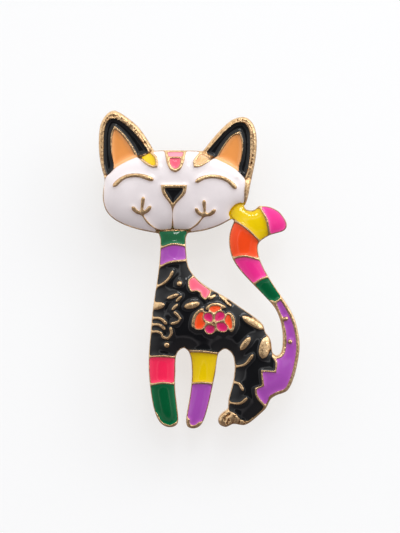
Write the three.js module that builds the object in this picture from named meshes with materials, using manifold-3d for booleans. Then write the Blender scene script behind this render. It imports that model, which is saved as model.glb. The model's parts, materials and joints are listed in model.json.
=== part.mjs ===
// A cat brooch in hard enamel: a gold-plated casting with walled pockets, the enamel in each pocket,
// and a pin back of bar, hinge, stem and safety catch. Millimetres.
//
// The brooch is drawn lying on its back, with x to the right, y up the cat and z towards the viewer, and
// z = 0 on the flat back. The last group stands it up, so that +Z is up and the front faces -Y.
// The origin is on the back plane, at the middle of the pin bar.

import * as THREE from 'three';
import { mergeVertices } from 'three/addons/utils/BufferGeometryUtils.js';
import Module from 'manifold-3d';

const wasm = await Module();
wasm.setup();

// ---- Driving dimensions ----

const RIM = 0.2; // gold edge round the outside
const WALL = 0.45; // gold wall between two enamels
const FINE_WALL = 0.28; // gold round the cells of the shoulder and the flower
const SCROLL = 0.5; // width of the scrolls
const ARC = 0.55; // width of the flower's outer arcs
const NOSE_WALL = 0.62; // gold round the nose
const FACE_MARGIN = 0.25; // gold between the face and the body that lies over it
const WALL_RISE = 0.2; // gold above the enamel's surface
const POCKET_DEPTH = 0.6; // pocket floor below the enamel's surface
const GAP = 0.1; // between enamel and casting, and between soldered pieces
const METAL_BEHIND = 2.6; // enamel's surface down to the hollow in the back
const TALL = 12; // height of a cutting prism, above every relief
const WIDE = 120; // side of a level relief, wider than the brooch
const CORNER_LIMIT = 0.5; // keeps a sharp corner from running away when its outline grows

const BODY_LEVEL = 1.7; // enamel's surface at the edge of the body, legs and tail
const EAR_LEVEL = 1.4; // enamel's surface in the ears
const EAR_RIM = 2.0; // top of the gold round the ears
const RELIEF_FLOOR = -4; // underside of the relief solids, below the hollow

const EDGE_STEPS = 2; // facets between two points of the casting's outlines
const ROUND_STEPS = 8; // facets round a dot, a petal or a leaf
const RIDGE_STEPS = 4; // facets across a ridge
const MOUND_STEPS = 8; // facets over a mound
const RIDGE_BASE = 0.6; // height at which a ridge's sides stand upright
const RIDGE_SPREAD = 1.12; // ridge's width over the width of the limb that it fills

const BAR = { left: -12.2, right: 12.4, width: 4.4, thickness: 0.6, holeRadius: 0.8, holeX: 4.5 };
const PAD = { halfLength: 11.8, halfWidth: 2.7, height: 3 };
const AXIS_DEPTH = 2.85; // back plane to the line of the stem
const HINGE_X = -10.4;
const SINK = 0.05; // how far one piece of a solid runs into the next
const OVERCUT = 1; // how far a cutting block runs past what it cuts
const LUG = { thickness: 0.5, innerGap: 2.0, crownRadius: 1.3 };
const RIVET = { radius: 0.45, headRadius: 0.8, headLength: 0.3 };
const RIVET_HOLE = RIVET.radius + GAP;
const KNUCKLE = { radius: 1.0, length: 1.8 };
const STEM = { radius: 0.45, start: 0.75, tipX: 13.0, pointLength: 3.2, tipLength: 0.8 };
const CATCH = {
  x: 10.4, length: 2.2, outer: 2.05, inner: 1.55, mouth: 1.5, footWidth: 2.4, footStart: 1.7,
};
const ROTOR = {
  outer: 1.45, bore: 0.62, slot: 1.24, flangeRadius: 2.05, flange: 0.5, collarRadius: 1.8, collar: 0.35,
};
const LEVER = { start: 1.0, reach: 4.2, width: 1.5, tilt: -65 }; // tilt in degrees from the slot

// ---- Colours and finishes ----

const GOLD = [0xcfa168, 0.28, 1.0];
const STEEL = [0xc8c8c4, 0.25, 1.0];
const WHITE = [0xe9e2e2, 0.15, 0.0];
const BLACK = [0x14161a, 0.12, 0.0];
const ORANGE = [0xf2a05c, 0.15, 0.0];
const VERMILION = [0xf4501e, 0.15, 0.0];
const YELLOW = [0xf0c400, 0.15, 0.0];
const PEACH = [0xf0a866, 0.15, 0.0];
const LIGHT_PINK = [0xf7a3b2, 0.15, 0.0];
const CORAL = [0xf2566e, 0.15, 0.0];
const RED = [0xf23255, 0.15, 0.0];
const MAGENTA = [0xf03a8c, 0.15, 0.0];
const CRIMSON = [0xd0246a, 0.15, 0.0];
const GREEN = [0x006038, 0.15, 0.0];
const PURPLE = [0x9c4aa8, 0.15, 0.0];

// ---- Solids ----

function solidFrom(geometry) {
  const bare = geometry.clone();
  bare.deleteAttribute('normal');
  bare.deleteAttribute('uv');
  const merged = mergeVertices(bare, 1e-5);
  return new wasm.Manifold(
    new wasm.Mesh({
      numProp: 3,
      vertProperties: merged.attributes.position.array,
      triVerts: merged.index.array,
    }),
  );
}

function geometryFrom(solid) {
  const mesh = solid.getMesh();
  const geometry = new THREE.BufferGeometry();
  geometry.setAttribute('position', new THREE.BufferAttribute(mesh.vertProperties, 3));
  geometry.setIndex(new THREE.BufferAttribute(mesh.triVerts, 1));
  const faceted = geometry.toNonIndexed();
  faceted.computeVertexNormals();
  return faceted;
}

function joined(solids) {
  return solids.reduce((whole, solid) => whole.add(solid));
}

function named(name, geometry, [color, roughness, metalness]) {
  const mesh = new THREE.Mesh(geometry, new THREE.MeshStandardMaterial({ color, roughness, metalness }));
  mesh.name = name;
  return mesh;
}

// ---- Outlines: lists of points, in the plane of the back ----

const vector = ([x, y]) => new THREE.Vector2(x, y);

// A closed outline in stretches. Each stretch is a smooth curve through its points, or a straight line to
// its one point, and starts where the stretch before it ended.
function smoothOutline(...stretches) {
  const points = [];
  let start = stretches.at(-1).at(-1);
  for (const stretch of stretches) {
    const curve = new THREE.SplineCurve([start, ...stretch].map(vector));
    const steps = stretch.length === 1 ? 1 : stretch.length * EDGE_STEPS;
    points.push(...curve.getPoints(steps).slice(1));
    start = stretch.at(-1);
  }
  return points;
}

// A closed outline with straight sides.
const outline = (...points) => points.map(vector);

// The outline moved outwards by a distance, or inwards by a negative one.
function grown(points, distance) {
  const turn = THREE.ShapeUtils.isClockWise(points) ? -1 : 1;
  const edgeNormal = (from, to) => new THREE.Vector2(to.y - from.y, from.x - to.x).normalize();
  return points.map((point, i) => {
    const before = edgeNormal(points.at(i - 1), point);
    const after = edgeNormal(point, points[(i + 1) % points.length]);
    const out = before.clone().add(after).normalize();
    const reach = distance / Math.max(out.dot(before), CORNER_LIMIT);
    return point.clone().addScaledVector(out, turn * reach);
  });
}

// A line of even width along a smooth curve, with pointed ends.
function stroke(line, width = WALL) {
  const curve = new THREE.SplineCurve(line.map(vector));
  const steps = line.length - 1;
  const left = [];
  const right = [];
  for (let i = 0; i <= steps; i++) {
    const at = curve.getPoint(i / steps);
    const along = curve.getTangent(i / steps);
    const side = new THREE.Vector2(-along.y, along.x).multiplyScalar(width / 2);
    left.push(at.clone().add(side));
    right.push(at.clone().sub(side));
  }
  const tail = curve.getPoint(0).addScaledVector(curve.getTangent(0), -width / 2);
  const tip = curve.getPoint(1).addScaledVector(curve.getTangent(1), width / 2);
  return [tail, ...right, tip, ...left.reverse()];
}

// A leaf from one tip to the other, with its width in the middle.
function leaf(from, to, width) {
  const start = vector(from);
  const along = vector(to).sub(start);
  const side = new THREE.Vector2(-along.y, along.x).normalize();
  const points = [];
  for (let i = 0; i < ROUND_STEPS; i++) {
    const angle = (2 * Math.PI * i) / ROUND_STEPS;
    const at = start.clone().addScaledVector(along, (1 - Math.cos(angle)) / 2);
    points.push(at.addScaledVector(side, (-Math.sin(angle) * width) / 2));
  }
  return points;
}

function oval(x, y, radiusX, radiusY = radiusX, tilt = 0) {
  const curve = new THREE.EllipseCurve(x, y, radiusX, radiusY, 0, 2 * Math.PI, false, tilt);
  return curve.getPoints(ROUND_STEPS).slice(1);
}

function prism(points, bottom = 0, top = TALL) {
  const geometry = new THREE.ExtrudeGeometry(new THREE.Shape(points), {
    depth: top - bottom,
    bevelEnabled: false,
  });
  return solidFrom(geometry.translate(0, 0, bottom));
}

// ---- Relief: solids whose tops are the enamel's surface, moved up or down by a shift ----

function level(height, shift) {
  const box = new THREE.BoxGeometry(WIDE, WIDE, height - RELIEF_FLOOR);
  return solidFrom(box.translate(0, 0, (height + RELIEF_FLOOR) / 2 + shift));
}

function mound({ x, y, radiusX, radiusY, base, crest }, shift) {
  const ball = new THREE.SphereGeometry(1, 2 * MOUND_STEPS, MOUND_STEPS).rotateX(Math.PI / 2);
  ball.scale(radiusX, radiusY, crest - base).translate(x, y, base + shift);
  return solidFrom(ball);
}

// Skins a row of rings that have the same number of points, and caps both ends.
function loft(rings) {
  const size = rings[0].length;
  const index = [];
  for (let ring = 1; ring < rings.length; ring++) {
    for (let k = 0; k < size; k++) {
      const a = (ring - 1) * size + k;
      const b = (ring - 1) * size + ((k + 1) % size);
      index.push(a, b, a + size, b, b + size, a + size);
    }
  }
  const last = (rings.length - 1) * size;
  for (let k = 2; k < size; k++) {
    index.push(0, k, k - 1);
    index.push(last, last + k - 1, last + k);
  }
  const geometry = new THREE.BufferGeometry();
  geometry.setAttribute('position', new THREE.Float32BufferAttribute(rings.flat(2), 3));
  geometry.setIndex(index);
  return geometry;
}

// A rounded ridge. Each station is [x, y, half the limb's width, height of the crest].
function ridge(stations, shift) {
  const spine = new THREE.SplineCurve(stations.map(vector));
  const rings = stations.map(([x, y, halfWidth, crest], i) => {
    const along = spine.getTangent(i / (stations.length - 1));
    const at = (side, z) => [x - side * along.y, y + side * along.x, z + shift];
    const reach = RIDGE_SPREAD * halfWidth;
    const ring = [at(-reach, RELIEF_FLOOR), at(reach, RELIEF_FLOOR)];
    for (let k = 0; k <= RIDGE_STEPS; k++) {
      const angle = (Math.PI * k) / RIDGE_STEPS;
      ring.push(at(reach * Math.cos(angle), RIDGE_BASE + (crest - RIDGE_BASE) * Math.sin(angle)));
    }
    return ring;
  });
  return solidFrom(loft(rings));
}

const CHEST = [
  [-0.6, -6.5, 2.9, 3.0], [-0.6, -11, 2.6, 3.0], [-0.5, -15, 3.3, 3.2], [-0.4, -20, 4.6, 3.6],
  [-1.2, -26, 4.4, 3.5], [-2.4, -31, 3.1, 3.1], [-2.5, -36, 2.7, 2.9], [-2.1, -41, 2.4, 2.7],
  [-1.2, -46, 1.2, 1.8],
];
const BACK = [
  [-1, -17.5, 4.0, 3.0], [4, -22, 5.6, 4.0], [9, -25.5, 5.8, 4.1], [13.6, -29.5, 5.2, 3.9],
  [15, -34.5, 4.8, 3.6], [13.5, -39.5, 3.6, 3.1], [10, -43, 2.2, 2.4],
];
const MIDDLE_LEG = [
  [5.4, -27, 3.0, 3.4], [5.3, -31, 2.8, 3.0], [5.0, -36, 2.2, 2.8], [4.2, -41, 2.0, 2.6],
  [3.1, -46, 1.2, 1.8],
];
const TAIL = [
  [16, -40, 2.6, 2.4], [18.6, -37, 3.0, 2.8], [20.7, -33, 2.5, 2.9], [21.5, -28.5, 1.7, 2.8],
  [21.0, -24.5, 1.6, 2.7], [19.6, -21.2, 1.6, 2.7], [17.4, -18.4, 1.9, 2.8], [15.2, -15.8, 2.2, 2.9],
  [13.4, -13, 2.6, 3.0], [12.6, -10, 2.8, 3.2], [13.2, -6.5, 3.2, 3.5],
];

const FACE_MOUND = { x: 0, y: -0.3, radiusX: 16, radiusY: 9.2, base: -0.6, crest: 4.4 };
const HOOK_MOUND = { x: 14.6, y: -6, radiusX: 5, radiusY: 4.6, base: 0.4, crest: 3.5 };
const TIP_MOUND = { x: 18.4, y: -5.8, radiusX: 3.3, radiusY: 3.2, base: 0.4, crest: 2.9 };

const headRelief = (shift) => mound(FACE_MOUND, shift);
const bodyRelief = (shift) =>
  joined([
    level(BODY_LEVEL, shift),
    ridge(CHEST, shift),
    ridge(BACK, shift),
    ridge(MIDDLE_LEG, shift),
    ridge(TAIL, shift),
    mound(HOOK_MOUND, shift),
    mound(TIP_MOUND, shift),
  ]);
const earRelief = (shift) => level(EAR_LEVEL, shift);

// ---- Outlines of the casting ----

const HEAD = smoothOutline(
  [[-11.7, 4.1], [-9.5, 5.45], [-7.2, 6.4], [-4.1, 7.35], [-1.6, 7.45], [1.6, 7.45], [5.0, 7.35]],
  [[7.4, 6.1], [9.7, 5.0], [11.7, 3.7], [13.1, 2.0], [13.0, 0], [12.95, -1.6], [12.75, -2.9], [11.3, -5.0]],
  [[9.9, -5.7], [8.0, -6.7], [5.2, -7.6], [2.1, -8.05]],
  [[-3.4, -8.1]],
  [[-6.2, -7.6], [-9.0, -6.8], [-11.6, -5.5], [-13.2, -3.7], [-13.75, -1.4], [-13.6, 0.6], [-13.4, 2.3]],
);

const LEFT_EAR = smoothOutline(
  [[-14.2, 5.0], [-14.55, 8.5], [-14.3, 12.0], [-13.3, 14.0], [-11.7, 15.0], [-9.5, 13.9], [-7.1, 11.9],
    [-5.3, 9.4], [-4.1, 7.35]],
  [[-5.0, 4.0]],
  [[-11.0, 1.6]],
  [[-13.4, 2.0]],
);
const RIGHT_EAR = smoothOutline(
  [[6.6, 9.4], [8.3, 11.3], [10.1, 12.95], [11.6, 13.65], [13.1, 13.7], [14.4, 12.6], [15.1, 10.5],
    [15.15, 7.5], [14.7, 4.4], [14.0, 1.2], [13.5, -1.4], [12.9, -2.9]],
  [[10.5, 0.5]],
  [[6.0, 4.5]],
  [[5.0, 7.35]],
);

const BODY = smoothOutline(
  // neck, back and haunch
  [[1.9, -8.8], [1.85, -9.8], [1.95, -11.8], [2.3, -14.2], [3.3, -15.9], [5.0, -17.5], [7.0, -18.8],
    [9.4, -20.1], [12.0, -21.9], [14.6, -23.7], [16.3, -25.2], [16.75, -26.6], [17.6, -27.7],
    [17.95, -29.2], [18.1, -30.4]],
  // tail, up its inner side
  [[18.8, -31.0], [19.6, -30.6], [20.0, -29.2], [20.0, -26.8], [19.5, -24.2], [18.4, -21.9], [16.6, -19.9],
    [14.3, -17.5], [12.0, -15.0], [10.5, -12.6], [9.95, -10.0], [10.1, -7.9], [10.9, -5.8]],
  // hook of the tail over the cheek, and its tip
  [[10.15, -4.7], [10.4, -3.8], [11.2, -2.95], [12.2, -2.6], [12.75, -2.95], [13.2, -3.6], [14.5, -3.75],
    [15.6, -2.95]],
  [[17.4, -3.1], [19.2, -3.95], [20.4, -5.4], [20.8, -6.7], [20.1, -7.7], [17.8, -8.4], [15.9, -9.55],
    [15.35, -10.7], [15.75, -13.0], [17.2, -16.0], [19.0, -18.8], [20.8, -21.4], [22.2, -24.0],
    [22.95, -26.8], [23.2, -29.6], [22.7, -33.0], [21.9, -35.8], [20.8, -37.7], [19.1, -38.4], [17.8, -39.2],
    [16.9, -40.9], [15.2, -42.5], [13.8, -43.65], [12.7, -44.1], [11.5, -43.95], [10.6, -43.9],
    [9.4, -44.45], [8.2, -44.0], [7.9, -43.0], [8.5, -41.95], [9.75, -41.0]],
  // hind leg's front edge and the arch to the middle leg
  [[9.9, -39.0], [10.6, -36.4], [11.0, -33.4], [10.6, -30.9], [9.2, -29.8], [8.0, -30.6]],
  [[7.4, -34.2], [6.7, -37.6], [5.8, -41.4], [4.8, -43.9], [3.5, -44.7], [2.1, -44.3], [1.95, -42.4],
    [2.6, -38.6], [2.95, -35.0], [2.7, -31.2], [1.5, -29.6], [0.1, -30.9], [-0.1, -34.0], [-0.15, -37.4],
    [0.3, -41.4], [0.3, -43.8], [-1.2, -44.5], [-2.9, -43.7], [-4.1, -41.2], [-4.9, -36.6], [-5.15, -32.0],
    [-4.8, -27.0], [-4.3, -21.8], [-3.6, -17.2], [-3.1, -13.2], [-2.95, -9.8], [-3.05, -8.8], [-3.5, -7.6]],
  [[2.45, -7.5]],
);

const BODY_HOLLOW = outline(
  [-2.6, -19.6], [0.0, -17.0], [3.2, -18.4], [8.4, -21.4], [12.2, -23.8], [15.2, -26.4], [16.2, -29.4],
  [15.6, -33.0], [13.2, -33.4], [12.0, -30.0], [9.2, -27.8], [5.0, -28.2], [0.0, -28.0], [-3.2, -25.6],
);

// ---- Gold that stands proud, and the pockets inside it ----

const NOSE = outline([-2.05, 0.25], [1.35, 0.25], [1.2, -0.5], [-0.56, -2.65], [-1.9, -0.5]);
const LEFT_BROW = outline(
  [-4.05, 6.1], [-3.8, 5.2], [-3.85, 4.55], [-4.4, 4.55], [-5.5, 5.2], [-6.5, 6.1], [-4.9, 6.9],
);
const RIGHT_BROW = outline(
  [4.25, 6.1], [3.7, 5.2], [3.75, 4.6], [4.35, 4.65], [5.5, 5.3], [6.25, 5.85], [4.75, 6.75],
);
const FOREHEAD_TOP = outline([-1.6, 7.05], [1.4, 7.05], [1.15, 6.2], [-1.35, 6.2]);
const FOREHEAD_BOTTOM = outline(
  [0.9, 5.85], [0.75, 4.8], [0.4, 4.15], [-0.13, 3.9], [-0.66, 4.15], [-1.0, 4.8], [-1.15, 5.85],
);
const FOREHEAD_BORDER = outline(
  [1.9, 7.1], [1.4, 4.8], [0.75, 3.6], [-0.13, 3.15], [-1.0, 3.6], [-1.65, 4.8], [-2.1, 7.1],
);

const LEFT_EAR_BLACK = outline(
  [-13.4, 4.6], [-13.5, 8.0], [-13.2, 11.9], [-12.5, 13.2], [-11.5, 13.35], [-9.6, 12.3], [-7.2, 9.9],
  [-5.15, 7.15], [-7.15, 6.45], [-8.4, 8.7], [-10.2, 11.0], [-11.6, 12.1], [-12.25, 10.4], [-12.2, 7.0],
  [-11.7, 4.2], [-12.9, 2.75],
);
const LEFT_EAR_ORANGE = outline(
  [-11.95, 7.0], [-11.9, 10.0], [-11.5, 11.5], [-10.3, 10.4], [-8.8, 8.4], [-7.8, 6.6], [-9.7, 5.75],
  [-11.6, 4.65],
);
const RIGHT_EAR_BLACK = outline(
  [7.4, 9.0], [9.3, 11.0], [11.3, 12.55], [12.8, 12.6], [13.65, 11.2], [13.85, 7.8], [13.5, 4.4],
  [12.85, 2.15], [11.75, 3.6], [12.35, 6.0], [12.6, 9.0], [12.0, 11.1], [10.4, 10.3], [8.9, 8.5],
  [7.5, 6.15], [5.7, 7.0],
);
const RIGHT_EAR_ORANGE = outline(
  [9.2, 8.3], [10.7, 10.1], [11.9, 10.5], [12.3, 8.8], [12.1, 6.0], [11.6, 4.2], [9.9, 5.4], [7.95, 6.2],
);

const SHOULDER = outline(
  [3.3, -16.3], [4.6, -17.55], [6.45, -18.9], [6.1, -19.6], [5.5, -20.3], [5.0, -19.9], [4.6, -19.05],
  [3.85, -18.7], [3.0, -18.85], [2.6, -18.1], [2.6, -16.95],
);
const PETALS = [
  outline(
    [5.3, -23.75], [5.5, -23.25], [6.0, -23.05], [6.45, -23.2], [6.75, -23.6], [6.75, -24.15], [6.55, -24.6],
    [5.9, -24.4], [5.45, -24.15],
  ),
  outline(
    [7.45, -23.5], [7.75, -23.05], [8.25, -22.85], [8.75, -22.95], [9.05, -23.45], [8.85, -24.0],
    [8.25, -24.3], [7.7, -24.45], [7.4, -24.3],
  ),
  outline(
    [7.75, -24.95], [8.3, -24.85], [8.95, -24.95], [9.4, -25.4], [9.55, -25.9], [9.2, -26.3], [8.7, -26.35],
    [8.05, -26.15], [7.7, -25.6],
  ),
  outline(
    [6.0, -25.35], [6.6, -25.4], [7.1, -25.65], [7.15, -26.2], [6.75, -26.65], [6.15, -26.7], [5.6, -26.3],
    [5.55, -25.75],
  ),
];
const FLOWER_LEFT = outline(
  [4.65, -22.85], [3.9, -23.6], [3.65, -24.45], [3.55, -25.4], [3.8, -25.85], [4.85, -25.85],
  [5.2, -25.45], [5.5, -24.95], [5.1, -24.4], [4.95, -23.85], [5.1, -23.2], [5.2, -22.95],
);
const FLOWER_TOP = outline(
  [6.35, -22.05], [6.65, -21.8], [8.05, -21.75], [8.4, -22.1], [7.75, -22.5], [7.05, -22.9],
  [6.5, -22.55], [6.25, -22.3],
);
const FLOWER_RIGHT = outline(
  [9.7, -23.25], [10.1, -23.65], [10.35, -24.3], [10.45, -25.2], [10.4, -25.8], [10.1, -26.0],
  [9.75, -25.4], [9.15, -24.6], [9.35, -23.9],
);
const FLOWER_HEART = oval(7.1, -24.8, 1.85);
const FLOWER_ARCS = [
  [[5.0, -22.35], [4.1, -22.85], [3.4, -23.9], [3.2, -25.5]],
  [[5.75, -22.25], [6.4, -21.6], [7.8, -21.4], [9.1, -21.95]],
  [[9.95, -23.1], [10.6, -23.8], [10.8, -25.2], [10.35, -26.35]],
];

const FOOT = outline(
  [7.2, -41.0], [9.9, -41.3], [11.1, -41.8], [11.5, -42.25], [12.05, -42.95], [12.9, -43.15],
  [13.9, -43.4], [14.2, -44.8], [7.2, -45],
);

const FACE_LINES = [
  { line: [[-11.5, 0.8], [-9.6, 2.3], [-7.1, 2.65], [-4.4, 1.85]], width: 0.72 }, // left eye
  { line: [[3.9, 1.5], [5.4, 2.25], [7.6, 2.4], [9.6, 1.75], [11.1, 0.4]], width: 0.72 }, // right eye
  { line: [[-0.56, -3.0], [-0.65, -8.2]], width: 0.4 }, // mouth
  { line: [[-6.06, -1.6], [-6.4, -4.2]], width: 0.62 },
  { line: [[-8.0, -3.4], [-7.2, -4.2], [-6.4, -4.5], [-5.5, -4.1], [-4.8, -3.3]], width: 0.68 },
  { line: [[-6.4, -4.6], [-5.2, -6.2], [-3.0, -7.8]], width: 0.35 },
  { line: [[5.25, -2.2], [5.4, -4.4]], width: 0.62 },
  { line: [[3.8, -3.7], [4.4, -4.5], [5.4, -4.8], [6.4, -4.6], [7.2, -3.9]], width: 0.68 },
  { line: [[5.3, -4.9], [4.0, -6.4], [2.0, -7.8]], width: 0.35 },
];

const NECK_LINE_1 = [[-3.3, -10.9], [-0.5, -10.15], [2.2, -10.5]];
const NECK_LINE_2 = [[-3.5, -14.6], [-1.2, -13.55], [2.5, -13.1]];
const FRONT_LEG_LINE_1 = [[-5.4, -31.3], [-2.5, -31.1], [0.2, -31.3]];
const FRONT_LEG_LINE_2 = [[-5.1, -36.5], [-2.4, -36.1], [0.1, -36.3]];
const MIDDLE_LEG_LINE_1 = [[2.4, -30.15], [5.4, -30.25], [8.2, -30.6]];
const MIDDLE_LEG_LINE_2 = [[2.7, -36.3], [5.0, -36.1], [7.3, -36.3]];
const HAUNCH_LINE = [
  [18.1, -31.0], [18.75, -32.2], [18.6, -34.0], [16.0, -33.8], [16.3, -36.6], [14.9, -37.1],
  [15.1, -38.5], [17.1, -41.1],
];
const TAIL_LINE_1 = [[17.9, -21.7], [18.9, -20.9], [20.5, -19.7]];
const TAIL_LINE_2 = [[14.2, -17.9], [15.9, -16.75], [17.8, -16.0]];
const TAIL_LINE_3 = [[10.3, -12.8], [12.8, -12.4], [16.1, -13.1]];
const TAIL_LINE_4 = [[10.6, -5.4], [13.4, -7.4], [16.0, -10.0]];
const TAIL_LINE_5 = [[15.4, -2.6], [16.9, -5.4], [17.6, -8.8]];

const BODY_LINES = [
  NECK_LINE_1, NECK_LINE_2, FRONT_LEG_LINE_1, FRONT_LEG_LINE_2, MIDDLE_LEG_LINE_1, MIDDLE_LEG_LINE_2,
  TAIL_LINE_1, TAIL_LINE_2, TAIL_LINE_3, TAIL_LINE_4, TAIL_LINE_5,
];

// Thicker gold that lies half outside the outline: both sides of the purple tail, and the lips of the feet.
const EDGE_BANDS = [
  {
    line: [[18.1, -21.2], [19.5, -24.2], [20.0, -26.8], [20.0, -29.2], [19.6, -30.6], [18.8, -31.0]],
    width: 1.3,
  },
  {
    line: [
      [20.2, -20.3], [22.2, -24.0], [22.95, -26.8], [23.2, -29.6], [22.7, -33.0], [21.9, -35.8],
      [20.8, -37.7], [19.1, -38.4], [17.8, -39.2],
    ],
    width: 1.4,
  },
  { line: [[17.8, -39.2], [16.9, -40.9], [15.2, -42.5], [13.8, -43.65]], width: 0.9 },
  { line: [[-3.9, -42.0], [-2.9, -43.7], [-1.2, -44.5], [0.3, -43.8]], width: 0.8 },
  { line: [[2.0, -43.0], [2.1, -44.3], [3.5, -44.7], [4.8, -43.9]], width: 1.3 },
];

const SCROLLS = [
  [[-3.7, -18.3], [-2.2, -17.4], [-1.1, -16.3], [-0.65, -15.3]],
  [[-0.2, -22.9], [0.85, -24.1], [0.3, -24.7], [-0.8, -25.0]],
  [[-4.3, -24.0], [-3.0, -24.0], [-1.8, -25.0]],
  [[-4.5, -25.2], [-3.2, -25.2], [-2.1, -26.0]],
  [[-4.6, -26.6], [-3.4, -26.5], [-2.6, -27.0]],
  [[-1.0, -25.8], [-0.85, -26.9], [-1.5, -27.8], [-2.5, -27.5]],
  [[6.3, -20.3], [7.3, -19.7]],
  [[8.2, -19.6], [9.3, -20.8], [10.2, -21.6]],
  [[11.1, -33.1], [12.9, -32.6], [14.3, -30.9]],
  [[10.9, -36.0], [11.7, -36.2], [12.5, -37.4]],
  [[10.1, -39.8], [12.0, -39.9], [13.2, -39.0]],
];
const LEAVES = [
  leaf([-1.7, -20.3], [0.6, -19.5], 0.75),
  leaf([0.0, -20.9], [1.1, -19.8], 0.6),
  leaf([-0.8, -22.5], [0.4, -21.3], 0.6),
  leaf([1.5, -21.9], [4.5, -21.2], 1.25),
  leaf([-5.6, -21.9], [-2.0, -21.5], 1.5),
  leaf([12.3, -23.6], [16.7, -26.1], 1.5),
  leaf([12.0, -30.0], [13.9, -27.5], 1.2),
  leaf([16.1, -31.6], [17.2, -27.3], 2.2),
];
const DOTS = [
  oval(0.66, -17.5, 0.55), oval(-1.7, -29.0, 0.55), oval(20.6, -24.1, 0.45), oval(21.35, -28.4, 0.45),
];

const headRaised = [
  grown(NOSE, NOSE_WALL),
  grown(LEFT_BROW, WALL),
  grown(RIGHT_BROW, WALL),
  grown(FOREHEAD_TOP, WALL),
  FOREHEAD_BORDER,
  ...FACE_LINES.map(({ line, width }) => stroke(line, width)),
];
const bodyRaised = [
  ...BODY_LINES.map((line) => stroke(line)),
  stroke(HAUNCH_LINE),
  ...EDGE_BANDS.map(({ line, width }) => stroke(line, width)),
  ...SCROLLS.map((line) => stroke(line, SCROLL)),
  ...FLOWER_ARCS.map((line) => stroke(line, ARC)),
  ...LEAVES,
  ...DOTS,
  ...[SHOULDER, ...PETALS, FLOWER_LEFT, FLOWER_TOP, FLOWER_RIGHT].map((cell) => grown(cell, FINE_WALL)),
  FLOWER_HEART,
  FOOT,
];

// ---- Zones: each picks one stretch of the body between its gold lines ----

const reversed = (line) => [...line].reverse();

const NECK_GREEN_ZONE = outline([-6, -7], [6, -7], ...reversed(NECK_LINE_1));
const NECK_PURPLE_ZONE = outline(...NECK_LINE_1, ...reversed(NECK_LINE_2));
const BLACK_ZONE = outline(
  ...NECK_LINE_2, [6, -15.5], [12, -20], [18.4, -26], ...HAUNCH_LINE, [14, -46], [5, -46], [8.6, -31],
  ...reversed(MIDDLE_LEG_LINE_1), [1.5, -29], [0.5, -31.5], ...reversed(FRONT_LEG_LINE_1), [-7, -31],
);
const FRONT_RED_ZONE = outline(...FRONT_LEG_LINE_1, ...reversed(FRONT_LEG_LINE_2));
const FRONT_GREEN_ZONE = outline(...FRONT_LEG_LINE_2, [1.2, -46], [-6, -46]);
const MIDDLE_YELLOW_ZONE = outline(...MIDDLE_LEG_LINE_1, ...reversed(MIDDLE_LEG_LINE_2));
const MIDDLE_PURPLE_ZONE = outline(...MIDDLE_LEG_LINE_2, [6.6, -46], [1.3, -46]);
const TAIL_PURPLE_ZONE = outline(
  ...TAIL_LINE_1, [26, -24], [26, -37], [19, -42], ...reversed(HAUNCH_LINE), [18.3, -29],
);
const TAIL_GREEN_ZONE = outline(...TAIL_LINE_2, ...reversed(TAIL_LINE_1));
const TAIL_PINK_ZONE = outline(...TAIL_LINE_3, ...reversed(TAIL_LINE_2));
const TAIL_ORANGE_ZONE = outline(...TAIL_LINE_4, ...reversed(TAIL_LINE_3), [8, -10]);
const TAIL_YELLOW_ZONE = outline([9, -4], [12, -1], ...TAIL_LINE_5, ...reversed(TAIL_LINE_4));
const TAIL_TIP_ZONE = outline(...TAIL_LINE_5, [22, -10], [22, -1]);

// ---- The casting and its enamels ----

// The pockets of a region: one for each zone of its open field, and one for each cell in the gold that
// stands in the field. All are drawn in by a spare.
function pockets({ region, raised, zones, cells }, spare) {
  const list = cells.map(([name, finish, cell]) => [name, finish, prism(grown(cell, -spare))]);
  if (zones.length > 0) {
    const gold = joined(raised.map((shape) => prism(grown(shape, spare))));
    const field = prism(grown(region, -RIM - spare)).subtract(gold);
    list.push(...zones.map(([name, finish, area]) => [name, finish, field.intersect(prism(area))]));
  }
  return list;
}

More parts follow.
